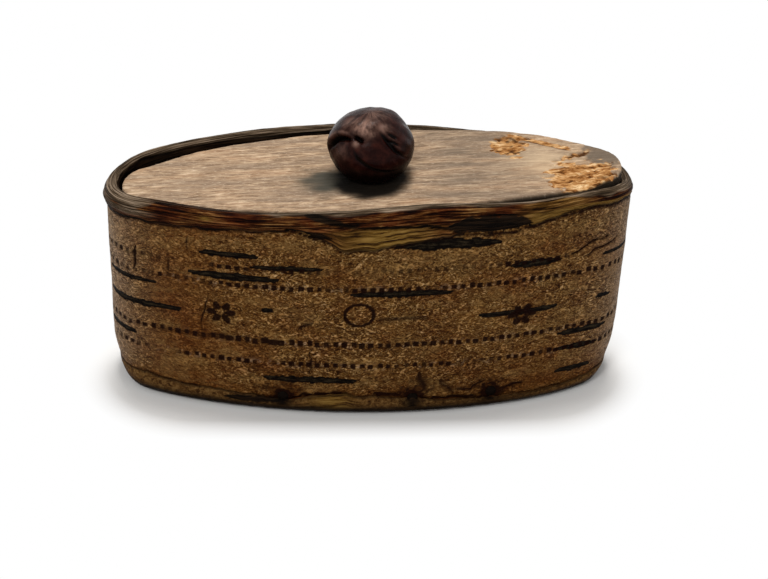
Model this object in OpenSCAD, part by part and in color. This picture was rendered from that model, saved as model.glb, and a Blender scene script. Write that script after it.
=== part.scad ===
// Oval birch-bark snuffbox: a seamless bark tube turned out over a stamped bark jacket, a pegged
// wooden bottom, and a loose wooden lid with a knotted leather pull. The lid lies as it was left:
// its left end down on the ledge inside, its right end up on the rim.
// Millimetres. The origin is the middle of the underside, +X along the length, -Y the front.

/* [Body] */
// Outer length over the lips
body_l = 90; // [76:1:110]
// Outer width over the lips
body_w = 32; // [28:0.5:38]
// Height of the rim above the table
body_h = 38.5; // [30:0.5:50]
// Outer radius of the bowed long sides in plan
side_r = 110; // [100:1:125]

/* [Bark layers] */
// Thickness of the seamless inner tube
tube_t = 1.1; // [0.8:0.05:1.4]
// Thickness of the stamped jacket
jacket_t = 1.1; // [0.8:0.05:1.4]
// Thickness of the turned-out lips that grip the jacket
lip_t = 0.6; // [0.4:0.05:0.8]
// Slack between two layers of bark
layer_gap = 0.05; // [0.02:0.01:0.1]
// Width of the jacket's lapped seam at the back
seam_w = 11; // [6:0.5:16]

/* [Lips] */
// How far the upper lip hangs down over the jacket, from the rim
rim_lip = 4.4; // [3.5:0.1:6]
// Height of the solid fold at the rim
rim_fold = 2; // [1.6:0.1:2.6]
// How far the lower lip stands up over the jacket, from the table
foot_lip = 4.8; // [4.4:0.1:6]
// Height of the solid fold at the foot
foot_fold = 1.6; // [1:0.1:1.7]
// Rounding of the foot's outer edge
foot_r = 1.5; // [0.8:0.1:1.6]

/* [Bottom] */
// Thickness of the bottom board
bottom_t = 6.4; // [5:0.2:8]
// Gap between the bottom board and the tube
bottom_gap = 0.05; // [0.02:0.01:0.15]
// Diameter of the wooden pegs
peg_d = 2.2; // [1.6:0.1:2.4]
// Length of the pegs
peg_l = 8; // [6:0.5:9]
// Height of the pegs' axes above the table
peg_z = 3.2; // [3:0.1:3.4]
// How far a peg's head stands out of the bark
peg_proud = 0.2; // [0:0.05:0.4]
// Slack round a peg in its hole
peg_gap = 0.03; // [0.02:0.01:0.06]

/* [Ledge] */
// Thickness of the inner lining strip, whose upper edge is the ledge
liner_t = 1.6; // [1.2:0.1:2]
// Depth of the ledge below the rim
ledge_drop = 4.5; // [4:0.1:7]

/* [Lid] */
// Thickness of the lid board
lid_t = 2.6; // [2:0.1:3.4]
// Bevel along the lid's edges
lid_bevel = 0.6; // [0.3:0.1:0.8]
// How much longer each half of the lid is than the mouth
lid_over = 0.4; // [0.2:0.05:0.6]
// Gap between the lid's left end and the tube
lid_end_gap = 0.5; // [0.3:0.05:0.9]
// Gap between the lid's long sides and the tube
lid_side_gap = 1.2; // [1:0.05:1.6]
// Radius of the lid's bowed long sides in plan
lid_side_r = 118; // [108:1:130]
// Turn of the lid in plan, its right end to the back
lid_turn = 0.5; // [0:0.1:0.7]
// Clearance between the lid and what it rests on
lid_seat = 0.25; // [0.15:0.05:0.4]

/* [Pull] */
// Width of the leather knot
knot_w = 14.8; // [11:0.2:17]
// Depth of the leather knot, front to back
knot_d = 13.6; // [10:0.2:16]
// Full height of the ball that the knot is pressed from
knot_h = 13.4; // [10:0.2:16]
// Depth of the crease where the upper turn laps the lower one
crease_d = 1.1; // [0.4:0.1:1.4]
// Diameter of the thong where it goes through the lid
thong_d = 4; // [3:0.1:5]
// Slack round the thong in its hole
thong_gap = 0.1; // [0.05:0.05:0.3]
// Length of the thong's tail below the lid
tail_l = 5; // [4:0.1:7]
// Diameter of the toggle that holds the thong below the lid
toggle_d = 2; // [1.4:0.1:2.4]
// Length of the toggle
toggle_l = 10; // [8:0.5:14]
// Clearance between the toggle, its slit and the lid
toggle_gap = 0.05; // [0.02:0.01:0.1]

/* [Hidden] */
$fn = 180;
// Places of the three front pegs along the length; the back has the same three, turned round
peg_x = [-15, 7.5, 21.5];
// Steps in each rounded corner of a bark section
corner_steps = 8;
// Overlap of a cutter past the face it opens
cut_past = 1;
// How much fuller an end arc is than the one that would just touch the side arcs, and how far
// an end part reaches into its neighbours, so that the arcs always cross and the parts are one
end_full = 0.02;
end_lap = 0.8;
// Height, about the table, of the blocks that part an oval into its arcs
part_h = 3 * body_h;
// Segments round the knot, and rings from its foot to its crown
knot_segs = 32;
knot_rings = 15;
// Latitude at which the ball is pressed flat on the lid
knot_foot = 52;
// Mean height, swing and turn of the lapping crease round the ball, as shares of its half height
lap_mean = 0.05;
lap_swing = 0.2;
lap_turn = 15;
crease_w = 0.17;
// Pointed share of a peg's length
peg_point = 0.25;

// An oval is [half length, half width, side radius, end radius]: two side arcs and two end arcs
// that run into each other smoothly. Insetting all four alike keeps the arcs' centres.
outer = oval(body_l / 2, body_w / 2, side_r);
stack = lip_t + jacket_t + tube_t + 2 * layer_gap;
tube_face = stack - tube_t;
mouth = inset(outer, stack);
rim_r = stack / 2;
bottom_oval = inset(mouth, bottom_gap);
liner_oval = inset(mouth, layer_gap);
ledge_z = body_h - ledge_drop;
lid_oval = oval(mouth[0] + lid_over, mouth[1] - lid_side_gap, lid_side_r);
// The lid's underside runs from the ledge on the left to the crown of the rim on the right
lid_slope = (body_h - ledge_z) / (2 * mouth[0] + rim_r);
lid_tilt = atan(lid_slope);
lid_x = lid_over + lid_end_gap;
lid_z = ledge_z + lid_seat + lid_slope * (mouth[0] + lid_x);
toggle_z = -toggle_d / 2 - toggle_gap;

bark = [0.43, 0.31, 0.17];
dark_bark = [0.27, 0.20, 0.11];
inner_bark = [0.55, 0.40, 0.24];
board = [0.66, 0.56, 0.46];
old_wood = [0.45, 0.34, 0.22];
peg_wood = [0.20, 0.14, 0.09];
leather = [0.20, 0.10, 0.08];

function oval(a, b, r) = [a, b, r, (a * a + b * b - 2 * r * b) / (2 * (a - r)) + end_full];
function inset(o, d) = [for (size = o) size - d];
// Distance of an end arc's centre, and of a side arc's centre, from the middle
function end_x(o) = o[0] - o[3];
function side_y(o) = o[2] - o[1];
// A far point on the line where an end arc and a side arc meet; both centres lie on that line
function meet(o) = [end_x(o), 0] + o[0] / end_x(o) * [end_x(o), side_y(o)];
function arc(centre, r, from, to) =
    [for (i = [0:corner_steps]) let (a = from + (to - from) * i / corner_steps)
        centre + r * [cos(a), sin(a)]];

// Keeps what lies beyond the right end arc's meeting lines, and a lap before them
module end_part(o) {
    m = meet(o);
    intersection() {
        translate([end_x(o), 0, 0]) children();
        translate([-end_lap, 0, 0]) linear_extrude(part_h, center = true)
            polygon([[end_x(o), 0], [m[0], -m[1]], m]);
    }
}

// Keeps what lies between the back side arc's meeting lines, down to the middle
module side_part(o) {
    m = meet(o);
    intersection() {
        translate([0, -side_y(o), 0]) children();
        linear_extrude(part_h, center = true)
            polygon([[end_x(o), 0], m, [-m[0], m[1]], [-end_x(o), 0]]);
    }
}

// Carries a section round an oval: its x runs outward from the oval's edge, its y is the height
module round_oval(o) {
    for (turn = [0, 180]) rotate(turn) {
        end_part(o) rotate_extrude() translate([o[3], 0]) children();
        side_part(o) rotate_extrude() translate([o[2], 0]) children();
    }
}

// A round board of a radius, its edge bevelled above and below
module disc(r, t, bevel) {
    rotate_extrude()
        polygon([[0, 0], [r - bevel, 0], [r, bevel], [r, t - bevel], [r - bevel, t], [0, t]]);
}

// An oval board: what the two side arcs' discs share, as far as the meeting points, and a disc at
// each end
module oval_board(o, t, bevel) {
    meet_x = end_x(o) * (1 + o[3] / norm([end_x(o), side_y(o)]));
    intersection() {
        translate([0, -side_y(o), 0]) disc(o[2], t, bevel);
        translate([0, side_y(o), 0]) disc(o[2], t, bevel);
        linear_extrude(part_h, center = true) square([2 * meet_x, body_w], center = true);
    }
    for (side = [-1, 1]) translate([side * end_x(o), 0, 0]) disc(o[3], t, bevel);
}

// Puts its children at each peg, on the lips' outer face, with +Y pointing into the box
module at_pegs() {
    for (turn = [0, 180], x = peg_x)
        rotate(turn) translate([0, side_y(outer), 0]) rotate(asin(x / side_r))
            translate([0, -side_r, peg_z]) children();
}

module peg_hole() {
    translate([0, -cut_past, 0]) rotate([-90, 0, 0])
        cylinder(d = peg_d + 2 * peg_gap, h = peg_l - peg_proud + peg_gap + cut_past);
}

// One closed section: foot fold, lower lip, outer face of the tube, upper lip, rolled rim, inner face
module tube_section() {
    polygon(concat(
        [[-stack, 0]],
        arc([-foot_r, foot_r], foot_r, -90, 0),
        [[0, foot_lip], [-lip_t, foot_lip], [-lip_t, foot_fold], [-tube_face, foot_fold],
         [-tube_face, body_h - rim_fold], [-lip_t, body_h - rim_fold],
         [-lip_t, body_h - rim_lip], [0, body_h - rim_lip]],
        arc([-rim_r, body_h - rim_r], rim_r, 0, 180)));
}

module jacket_section() {
    translate([-lip_t - layer_gap - jacket_t, foot_fold + layer_gap])
        square([jacket_t, body_h - rim_fold - foot_fold - 2 * layer_gap]);
}

// The jacket's free end, lapped over its other end and as thick as the lips
module flap_section() {
    translate([-lip_t - layer_gap - jacket_t / 2, foot_lip + layer_gap])
        square([lip_t + jacket_t / 2, body_h - rim_lip - foot_lip - 2 * layer_gap]);
}

module bark_tube() color(dark_bark) {
    difference() {
        round_oval(outer) tube_section();
        at_pegs() peg_hole();
    }
}

module bark_jacket() color(bark) {
    flap_angle = 2 * asin(seam_w / 2 / side_r);
    difference() {
        union() {
            round_oval(outer) jacket_section();
            translate([0, -side_y(outer), 0]) rotate(90 - flap_angle / 2)
                rotate_extrude(angle = flap_angle) translate([side_r, 0]) flap_section();
        }
        at_pegs() peg_hole();
    }
}

module ledge_liner() color(inner_bark) {
    round_oval(liner_oval)
        translate([-liner_t, bottom_t]) square([liner_t, ledge_z - bottom_t]);
}

module bottom_board() color(old_wood) {
    difference() {
        oval_board(bottom_oval, bottom_t, lid_bevel);
        at_pegs() peg_hole();
    }
}

module bottom_pegs() color(peg_wood) {
    point_l = peg_l * peg_point;
    at_pegs() translate([0, -peg_proud, 0]) rotate([-90, 0, 0]) {
        cylinder(d = peg_d, h = peg_l - point_l);
        translate([0, 0, peg_l - point_l]) cylinder(d1 = peg_d, d2 = peg_d / 2, h = point_l);
    }
}

// The lid's own frame: its underside's middle at the origin
module in_lid_place() {
    translate([lid_x, 0, lid_z]) rotate([0, -lid_tilt, lid_turn]) children();
}

module lid_board() color(board) in_lid_place() {
    difference() {
        oval_board(lid_oval, lid_t, lid_bevel);
        translate([0, 0, -cut_past])
            cylinder(d = thong_d + 2 * thong_gap, h = lid_t + 2 * cut_past);
    }
}

// Height of the lapping crease at an angle round the ball, and the ball's swell there
function lap(az) = lap_mean + lap_swing * cos(2 * (az + 90 + lap_turn));
function knot_swell(az, h) = 1 - 2 * crease_d / knot_w * exp(-pow((h - lap(az)) / crease_w, 2));
function knot_point(az, lat) = let (s = knot_swell(az, sin(lat)))
    [s * cos(lat) * cos(az) * knot_w / 2, s * cos(lat) * sin(az) * knot_d / 2,
     (sin(lat) + sin(knot_foot)) * knot_h / 2];

module knot() {
    crown = knot_segs * knot_rings;
    points = concat(
        [for (j = [0:knot_rings - 1], i = [0:knot_segs - 1])
            knot_point(i * 360 / knot_segs, -knot_foot + (90 + knot_foot) * j / knot_rings)],
        [knot_point(0, 90), [0, 0, 0]]);
    function at(i, j) = j * knot_segs + i % knot_segs;
    sides = [for (j = [0:knot_rings - 2], i = [0:knot_segs - 1], half = [0, 1])
        half == 0 ? [at(i, j), at(i, j + 1), at(i + 1, j)]
                  : [at(i + 1, j), at(i, j + 1), at(i + 1, j + 1)]];
    top = [for (i = [0:knot_segs - 1]) [at(i, knot_rings - 1), crown, at(i + 1, knot_rings - 1)]];
    foot = [for (i = [0:knot_segs - 1]) [at(i + 1, 0), crown + 1, at(i, 0)]];
    polyhedron(points, concat(sides, top, foot));
}

// Knot above the lid, thong through it, and a tail below with a slit for the toggle
module leather_pull() color(leather) in_lid_place() {
    difference() {
        union() {
            translate([0, 0, lid_t]) knot();
            translate([0, 0, -tail_l]) cylinder(d = thong_d, h = tail_l + lid_t + knot_h / 2);
        }
        translate([0, 0, toggle_z]) rotate([90, 0, 0])
            cylinder(d = toggle_d + 2 * toggle_gap, h = thong_d + 2 * cut_past, center = true);
    }
}

module thong_toggle() color(peg_wood) in_lid_place() {
    translate([0, 0, toggle_z]) rotate([90, 0, 0])
        cylinder(d = toggle_d, h = toggle_l, center = true);
}

bark_tube();
bark_jacket();
ledge_liner();
bottom_board();
bottom_pegs();
lid_board();
leather_pull();
thong_toggle();
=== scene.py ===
# %% [markdown]
# # Dressing a birch-bark snuffbox
# The box is a pocket-sized oval tube of bark. Its two ends are turned out as layered lips that grip a
# stamped bark jacket, a pegged board closes the bottom, and a loose wooden lid with a knotted leather
# pull lies askew in the mouth. The solids of the frame give every size and place. This lesson covers
# them with surfaces worked out as whole arrays, because bark, old wood and leather are all about small
# changes of height and colour, and a formula on a grid gives both at once.

import bmesh
import bpy
import numpy as np
from mathutils import Matrix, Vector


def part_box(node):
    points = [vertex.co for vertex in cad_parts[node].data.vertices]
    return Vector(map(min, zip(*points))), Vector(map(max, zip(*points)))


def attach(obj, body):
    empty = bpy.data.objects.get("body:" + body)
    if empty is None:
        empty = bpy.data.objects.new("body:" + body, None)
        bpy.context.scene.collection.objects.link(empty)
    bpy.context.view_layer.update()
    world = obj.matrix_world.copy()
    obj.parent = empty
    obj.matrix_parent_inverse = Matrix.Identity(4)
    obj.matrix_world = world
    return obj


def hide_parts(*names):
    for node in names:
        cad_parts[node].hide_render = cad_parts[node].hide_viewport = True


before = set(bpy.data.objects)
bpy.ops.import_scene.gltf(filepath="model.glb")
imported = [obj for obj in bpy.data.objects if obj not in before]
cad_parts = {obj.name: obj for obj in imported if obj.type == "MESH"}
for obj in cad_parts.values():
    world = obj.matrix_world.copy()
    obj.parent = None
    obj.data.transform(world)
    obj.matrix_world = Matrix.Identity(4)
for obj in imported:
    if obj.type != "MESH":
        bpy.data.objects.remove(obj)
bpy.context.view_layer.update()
# A millimetre in metres, for the points, and a centimetre in millimetres, for the surface maps
MM, CM = 0.001, 10.0
print("frame nodes:", sorted(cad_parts))

# %% [markdown]
# ## The camera
# The photographer stood in front of the box, a little to its left, and looked down on it. A camera is
# placed by the three directions that it sees along: forward, right and up. Writing them from a turn, a
# pitch and a roll keeps the numbers readable, and the small shift moves the frame, not the view.

# %% Camera
photo_w, photo_h = 768, 579
view_distance = 279.2
view_aim = np.array([0.0, 0.0, 18.0])
view_turn, view_pitch, view_roll = np.radians([4.02, 32.0, 2.04])
lens_mm, sensor_mm = 74.9, 36.0
optical_axis_px = (367.4, 278.8)


def view_axes(turn, pitch, roll):
    """Forward, right and up: forward dips by the pitch, and the other two roll about it."""
    forward = np.array([np.sin(turn) * np.cos(pitch), np.cos(turn) * np.cos(pitch), -np.sin(pitch)])
    level = np.array([np.cos(turn), -np.sin(turn), 0.0])
    upright = np.cross(level, forward)
    right = np.cos(roll) * level + np.sin(roll) * upright
    up = np.cos(roll) * upright - np.sin(roll) * level
    return forward, right, up


def pose_matrix(axes, place):
    """The matrix of an object whose own X, Y and Z are the columns of `axes`, at a place in metres."""
    return Matrix([[*row, at] for row, at in zip(axes, place)] + [[0, 0, 0, 1]])


forward, right, up = view_axes(view_turn, view_pitch, view_roll)
eye = (view_aim - view_distance * forward) * MM
camera_data = bpy.data.cameras.new("photo_view")
camera_data.lens, camera_data.sensor_width = lens_mm, sensor_mm
camera_data.shift_x = (photo_w / 2 - optical_axis_px[0]) / photo_w
camera_data.shift_y = (optical_axis_px[1] - photo_h / 2) / photo_w
camera_data.clip_start, camera_data.clip_end = 0.01, 20
camera = bpy.data.objects.new("photo_view", camera_data)
camera.matrix_world = pose_matrix(np.stack([right, up, -forward], 1), eye)
bpy.context.scene.collection.objects.link(camera)
bpy.context.scene.camera = camera
print("camera at", eye.round(4))

# %% [markdown]
# ## Building materials from nodes
# Every finish below is a small graph: noises read a surface's own map, colour ramps turn them into
# pigments, and masks that the geometry carries as attributes lay one pigment over another. A few short
# helpers keep those graphs readable. Most add one kind of node and hand back the socket to go on from.


# %% Node helpers
def feed(tree, socket, value):
    """A socket is linked to another, or set to a value; a colour of three numbers is made opaque."""
    if isinstance(value, bpy.types.NodeSocket):
        tree.links.new(value, socket)
    elif socket.type == "RGBA" and len(value) == 3:
        socket.default_value = (*value, 1)
    else:
        socket.default_value = value


def add_node(tree, kind, inputs=None, **settings):
    """A node of a kind, with its settings, and its inputs set to values or linked to sockets."""
    made = tree.nodes.new(kind)
    for key, value in settings.items():
        setattr(made, key, value)
    for key, value in (inputs or {}).items():
        feed(tree, made.inputs[key], value)
    return made


def ramp(tree, factor, stops):
    """A colour ramp through (place, colour) stops; a plain number is a grey."""
    made = add_node(tree, "ShaderNodeValToRGB", {"Fac": factor})
    elements = made.color_ramp.elements
    while len(elements) < len(stops):
        elements.new(0.5)
    for element, (place, colour) in zip(elements, stops):
        element.position = place
        element.color = (*colour, 1) if isinstance(colour, tuple) else (colour, colour, colour, 1)
    return made.outputs["Color"]


def lay_over(tree, factor, below, above, how="MIX"):
    """One colour laid over another by a factor. A mix node has its two colours at inputs 6 and 7."""
    inputs = {0: factor, 6: below, 7: above}
    return add_node(tree, "ShaderNodeMix", inputs, data_type="RGBA", blend_type=how).outputs[2]


def tint(tree, colour, guide, stops, pigment, how="MIX"):
    """A pigment laid over a colour where a noise or mask lets it: the stops turn that into a strength."""
    return lay_over(tree, ramp(tree, guide, stops), colour, pigment, how)


def scaled_noise(tree, places, stretch, scale, detail, roughness, turn=0.0, curl=0.0):
    """A noise on coordinates that are stretched first, so that its grains can be long one way."""
    mapping = {"Vector": places, "Scale": stretch, "Rotation": (0, 0, turn)}
    mapped = add_node(tree, "ShaderNodeMapping", mapping).outputs[0]
    grains = {"Vector": mapped, "Scale": scale, "Detail": detail, "Roughness": roughness, "Distortion": curl}
    return add_node(tree, "ShaderNodeTexNoise", grains).outputs["Fac"]


def mask(tree, name):
    """A number that the mesh carries at each point."""
    return add_node(tree, "ShaderNodeAttribute", attribute_name=name).outputs["Fac"]


def start_finish(name):
    """A new material with its node tree, the piece's own map, and the shader."""
    material = bpy.data.materials.new(name)
    material.use_nodes = True
    tree = material.node_tree
    places = add_node(tree, "ShaderNodeUVMap", uv_map="surface_map").outputs[0]
    return material, tree, places, tree.nodes["Principled BSDF"]


def set_shader(tree, shader, colour, roughness, specular=0.5):
    """The shader's colour, roughness and mirror-like share, each a socket or a value."""
    for name, value in (("Base Color", colour), ("Roughness", roughness), ("Specular IOR Level", specular)):
        feed(tree, shader.inputs[name], value)


def raise_bump(tree, shader, height, strength, distance):
    """Small relief that is finer than the mesh."""
    bump = add_node(tree, "ShaderNodeBump", {"Height": height, "Strength": strength, "Distance": distance})
    tree.links.new(bump.outputs[0], shader.inputs["Normal"])


print("node helpers ready")

# %% [markdown]
# ## Meshes from grids
# A surface is a table of points: one index runs along a path, the other along a profile. Its faces are
# the squares between neighbours, and where the path closes, the last column joins the first. A map is
# stored with the faces, in centimetres along and across, so that patterns keep their real scale.


# %% Grid helpers
def grid_faces(rows, columns, closed_rows):
    """Squares between neighbours of a table whose columns close on themselves."""
    i = np.arange(rows if closed_rows else rows - 1)[:, None]
    j = np.arange(columns)[None, :]
    below, above = i * columns, (i + 1) % rows * columns
    after = (j + 1) % columns
    corners = np.broadcast_arrays(below + j, below + after, above + after, above + j)
    return np.stack(corners, -1).reshape(-1, 4)


def grid_map(along, across):
    """The map's corners for the same squares: one more column, and row, where the table closes."""
    u, v = np.broadcast_arrays(along[None, :], across[:, None]) if across.ndim == 1 else (along, across)
    corners = np.stack([u, v], -1)
    lower, upper = corners[:-1], corners[1:]
    return np.stack([lower[:, :-1], lower[:, 1:], upper[:, 1:], upper[:, :-1]], 2).reshape(-1, 2)


def new_piece(name, points, faces, corners, masks, material, merge=0.0):
    """A smooth mesh in metres from points in millimetres, with its map, masks and material."""
    mesh = bpy.data.meshes.new(name)
    mesh.from_pydata(points.reshape(-1, 3) * MM, [], faces)
    mesh.uv_layers.new(name="surface_map").data.foreach_set("uv", corners.astype(np.float32).ravel())
    for key, values in masks.items():
        held = mesh.attributes.new(key, "FLOAT", "POINT")
        held.data.foreach_set("value", np.ascontiguousarray(values, np.float32).ravel())
    if merge:
        work = bmesh.new()
        work.from_mesh(mesh)
        bmesh.ops.remove_doubles(work, verts=work.verts, dist=merge * MM)
        work.to_mesh(mesh)
        work.free()
    mesh.polygons.foreach_set("use_smooth", np.ones(len(mesh.polygons), bool))
    mesh.materials.append(material)
    mesh.update()
    piece = bpy.data.objects.new(name, mesh)
    bpy.context.scene.collection.objects.link(piece)
    print(name, "has", len(mesh.vertices), "points and", len(mesh.polygons), "faces")
    return piece


print("grid helpers ready")

# %% [markdown]
# Three curves shape nearly everything below. One eases from 0 to 1, one is a bell, and one is a random
# landscape: numbers drawn on a lattice and eased between, which gives the unevenness of handwork. A
# seed for each use keeps every wave and ragged edge where it is, however often the script runs.

# %% Curves
lattice_cells = 64


def ease(value, low, high):
    """0 below low, 1 above high, and an S-shaped curve between them."""
    t = np.clip((value - low) / (high - low), 0, 1)
    return t * t * (3 - 2 * t)


def bell(value, width):
    """1 at zero, falling off on both sides within about the width."""
    return np.exp(-(value / width) ** 2)


def lattice(u, v, seed):
    """Random numbers from -1 to 1 on whole u and v, eased between; both repeat after the lattice's cells."""
    table = np.random.default_rng(seed).uniform(-1, 1, (lattice_cells, lattice_cells))
    cell_u, cell_v = np.floor(u).astype(int), np.floor(v).astype(int)
    part_u, part_v = ease(u - cell_u, 0, 1), ease(v - cell_v, 0, 1)
    near, far = cell_u % lattice_cells, (cell_u + 1) % lattice_cells
    low, high = cell_v % lattice_cells, (cell_v + 1) % lattice_cells
    below = table[near, low] * (1 - part_u) + table[far, low] * part_u
    above = table[near, high] * (1 - part_u) + table[far, high] * part_u
    return below * (1 - part_v) + above * part_v


print("a lattice repeats after", lattice_cells, "cells")

# %% [markdown]
# ## The oval
# The plan is four arcs that run into each other: two long bowed sides and two round ends. A place on it
# is a run, the distance along the outline from the middle of the front, positive to the right. The
# outward direction turns evenly along each arc, so one table of turns gives the whole outline.

# %% Oval path
side_bow = 110.0


def oval_of(half_length, half_width, side_radius):
    """Half sizes, arc radii and centres, and the runs at which one arc gives way to the next."""
    a, b, r = half_length, half_width, side_radius
    end_r = (a * a + b * b - 2 * r * b) / (2 * (a - r))
    end_x, side_y = a - end_r, r - b
    half_turn = np.arctan2(end_x, side_y)
    turns = np.array([0, half_turn, np.pi - half_turn, np.pi])
    runs = np.cumsum([0, r * half_turn, end_r * (np.pi - 2 * half_turn), r * half_turn])
    return dict(a=a, b=b, side_r=r, end_r=end_r, end_x=end_x, side_y=side_y, turns=turns, runs=runs,
                length=2 * runs[-1])


def walk(oval, run):
    """Outline points and outward directions at some runs: each lies its arc's radius from its centre."""
    far, side = np.abs(run), np.sign(run)
    turn = side * np.interp(far, oval["runs"], oval["turns"]) - np.pi / 2
    outward = np.stack([np.cos(turn), np.sin(turn)], -1)
    on_end = (far > oval["runs"][1]) & (far < oval["runs"][2])
    centre_y = np.where(far < oval["runs"][1], oval["side_y"], -oval["side_y"])
    centre = np.stack([np.where(on_end, side * oval["end_x"], 0), np.where(on_end, 0, centre_y)], -1)
    radius = np.where(on_end, oval["end_r"], oval["side_r"])
    return centre + radius[..., None] * outward, outward


tube_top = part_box("bark_tube")[1]
box_h = tube_top.z / MM
box_oval = oval_of(tube_top.x / MM, tube_top.y / MM, side_bow)
round_box = box_oval["length"]
end_run = box_oval["runs"][1:3].mean()
print("outline is", round(round_box, 1), "mm round")

# %% [markdown]
# Bark moves as it dries. The rim has sunk at the two ends and waves along the front, and the foot has
# drawn in below the ends. Both are small bends of the whole wall, so they are kept apart from the
# pieces: each piece is worked out for a straight oval wall and then bent in the same way.

# %% Warp
# Tube wall, jacket and lip together, from the outline to the inside
stack = 2.9
# Lift of the whole rim, and what the two ends, the back and the right end add to it
front_rise, end_sag, back_rise, right_rise = 1.4, -1.98, 0.70, 0.9
# Lift of the front's waves and of its right corner, and the power by which all lift fades downward
front_wave, corner_rise, rise_power = 1.1, 0.8, 3.4
# How far the foot, the rim behind the ends and the left end's rim are drawn in, and where
foot_draw, rim_draw, left_draw = 2.5, 0.8, 0.4
foot_fade, rim_draw_run = 9.5, 57.5


def lift(xy, height):
    """Height plus the warp: the rim sags to the ends, is higher at the back and right, and waves along
    the front. The lift fades downward as a power of the height, so that the foot stays flat."""
    x, y = xy[..., 0] / box_oval["a"], xy[..., 1] / box_oval["b"]
    rise = front_rise + end_sag * x * x + back_rise * np.clip(y, 0, 1) + right_rise * ease(x, 0.35, 0.95)
    rise = rise + front_wave * ease(-y, 0.25, 0.8) * (bell(x - 0.27, 0.28) - bell(x + 0.45, 0.33))
    rise = rise + corner_rise * ease(x, 0.55, 0.85) * ease(-y, 0.0, 0.45)
    return height + rise * np.clip(height / box_h, 0, 1.2) ** rise_power


def settle(run, height, depth):
    """The foot draws in at the two ends, and so does the rim behind them; the inside stays in place."""
    far = np.abs(run)
    drawn = np.where(run > 0, bell(far - end_run + 3, 10), bell(far - end_run + 1, 8.2))
    foot = foot_draw * drawn * np.clip(1 - height / foot_fade, 0, 1) ** 1.5
    rim = rim_draw * bell(far - rim_draw_run, 6) * ease(height, 18, 34)
    rim = rim + left_draw * bell(run + end_run, 9) * ease(height, 36, 38)
    return depth - (foot + rim) * np.clip(1 + depth / stack, 0, 1)


def wall_points(run, height, depth):
    """Points = outline point + depth along the outward direction, at heights lifted with the warped rim."""
    xy, outward = walk(box_oval, run)
    return np.concatenate([xy + depth[..., None] * outward, lift(xy, height)[..., None]], -1)


rim_lift = lift(walk(box_oval, np.array([0.0, -end_run]))[0], box_h) - box_h
print("rim is lifted, mm, in the middle of the front and at the left end:", rim_lift.round(2))

# %% [markdown]
# ## Stamped bark
# The jacket is the outer layer of the bark, rubbed smooth by hands: golden brown with darker grains,
# reddish patches, and lenticels, the long dark slits through which the tree breathed. The stamps are
# darker still, because dirt stays in them. Noises of several scales make the mottling, and the masks
# that the mesh carries say where a slit, a stamp or a worn place is, and where shade, a sheen and
# highlights are painted on. The lips show the bark's layers on edge, so their noise is drawn out along
# the run.

# %% Bark finishes
black, calm_tone = (0, 0, 0), (0.505, 0.505, 0.505)
bark_specular = 0.02


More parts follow.
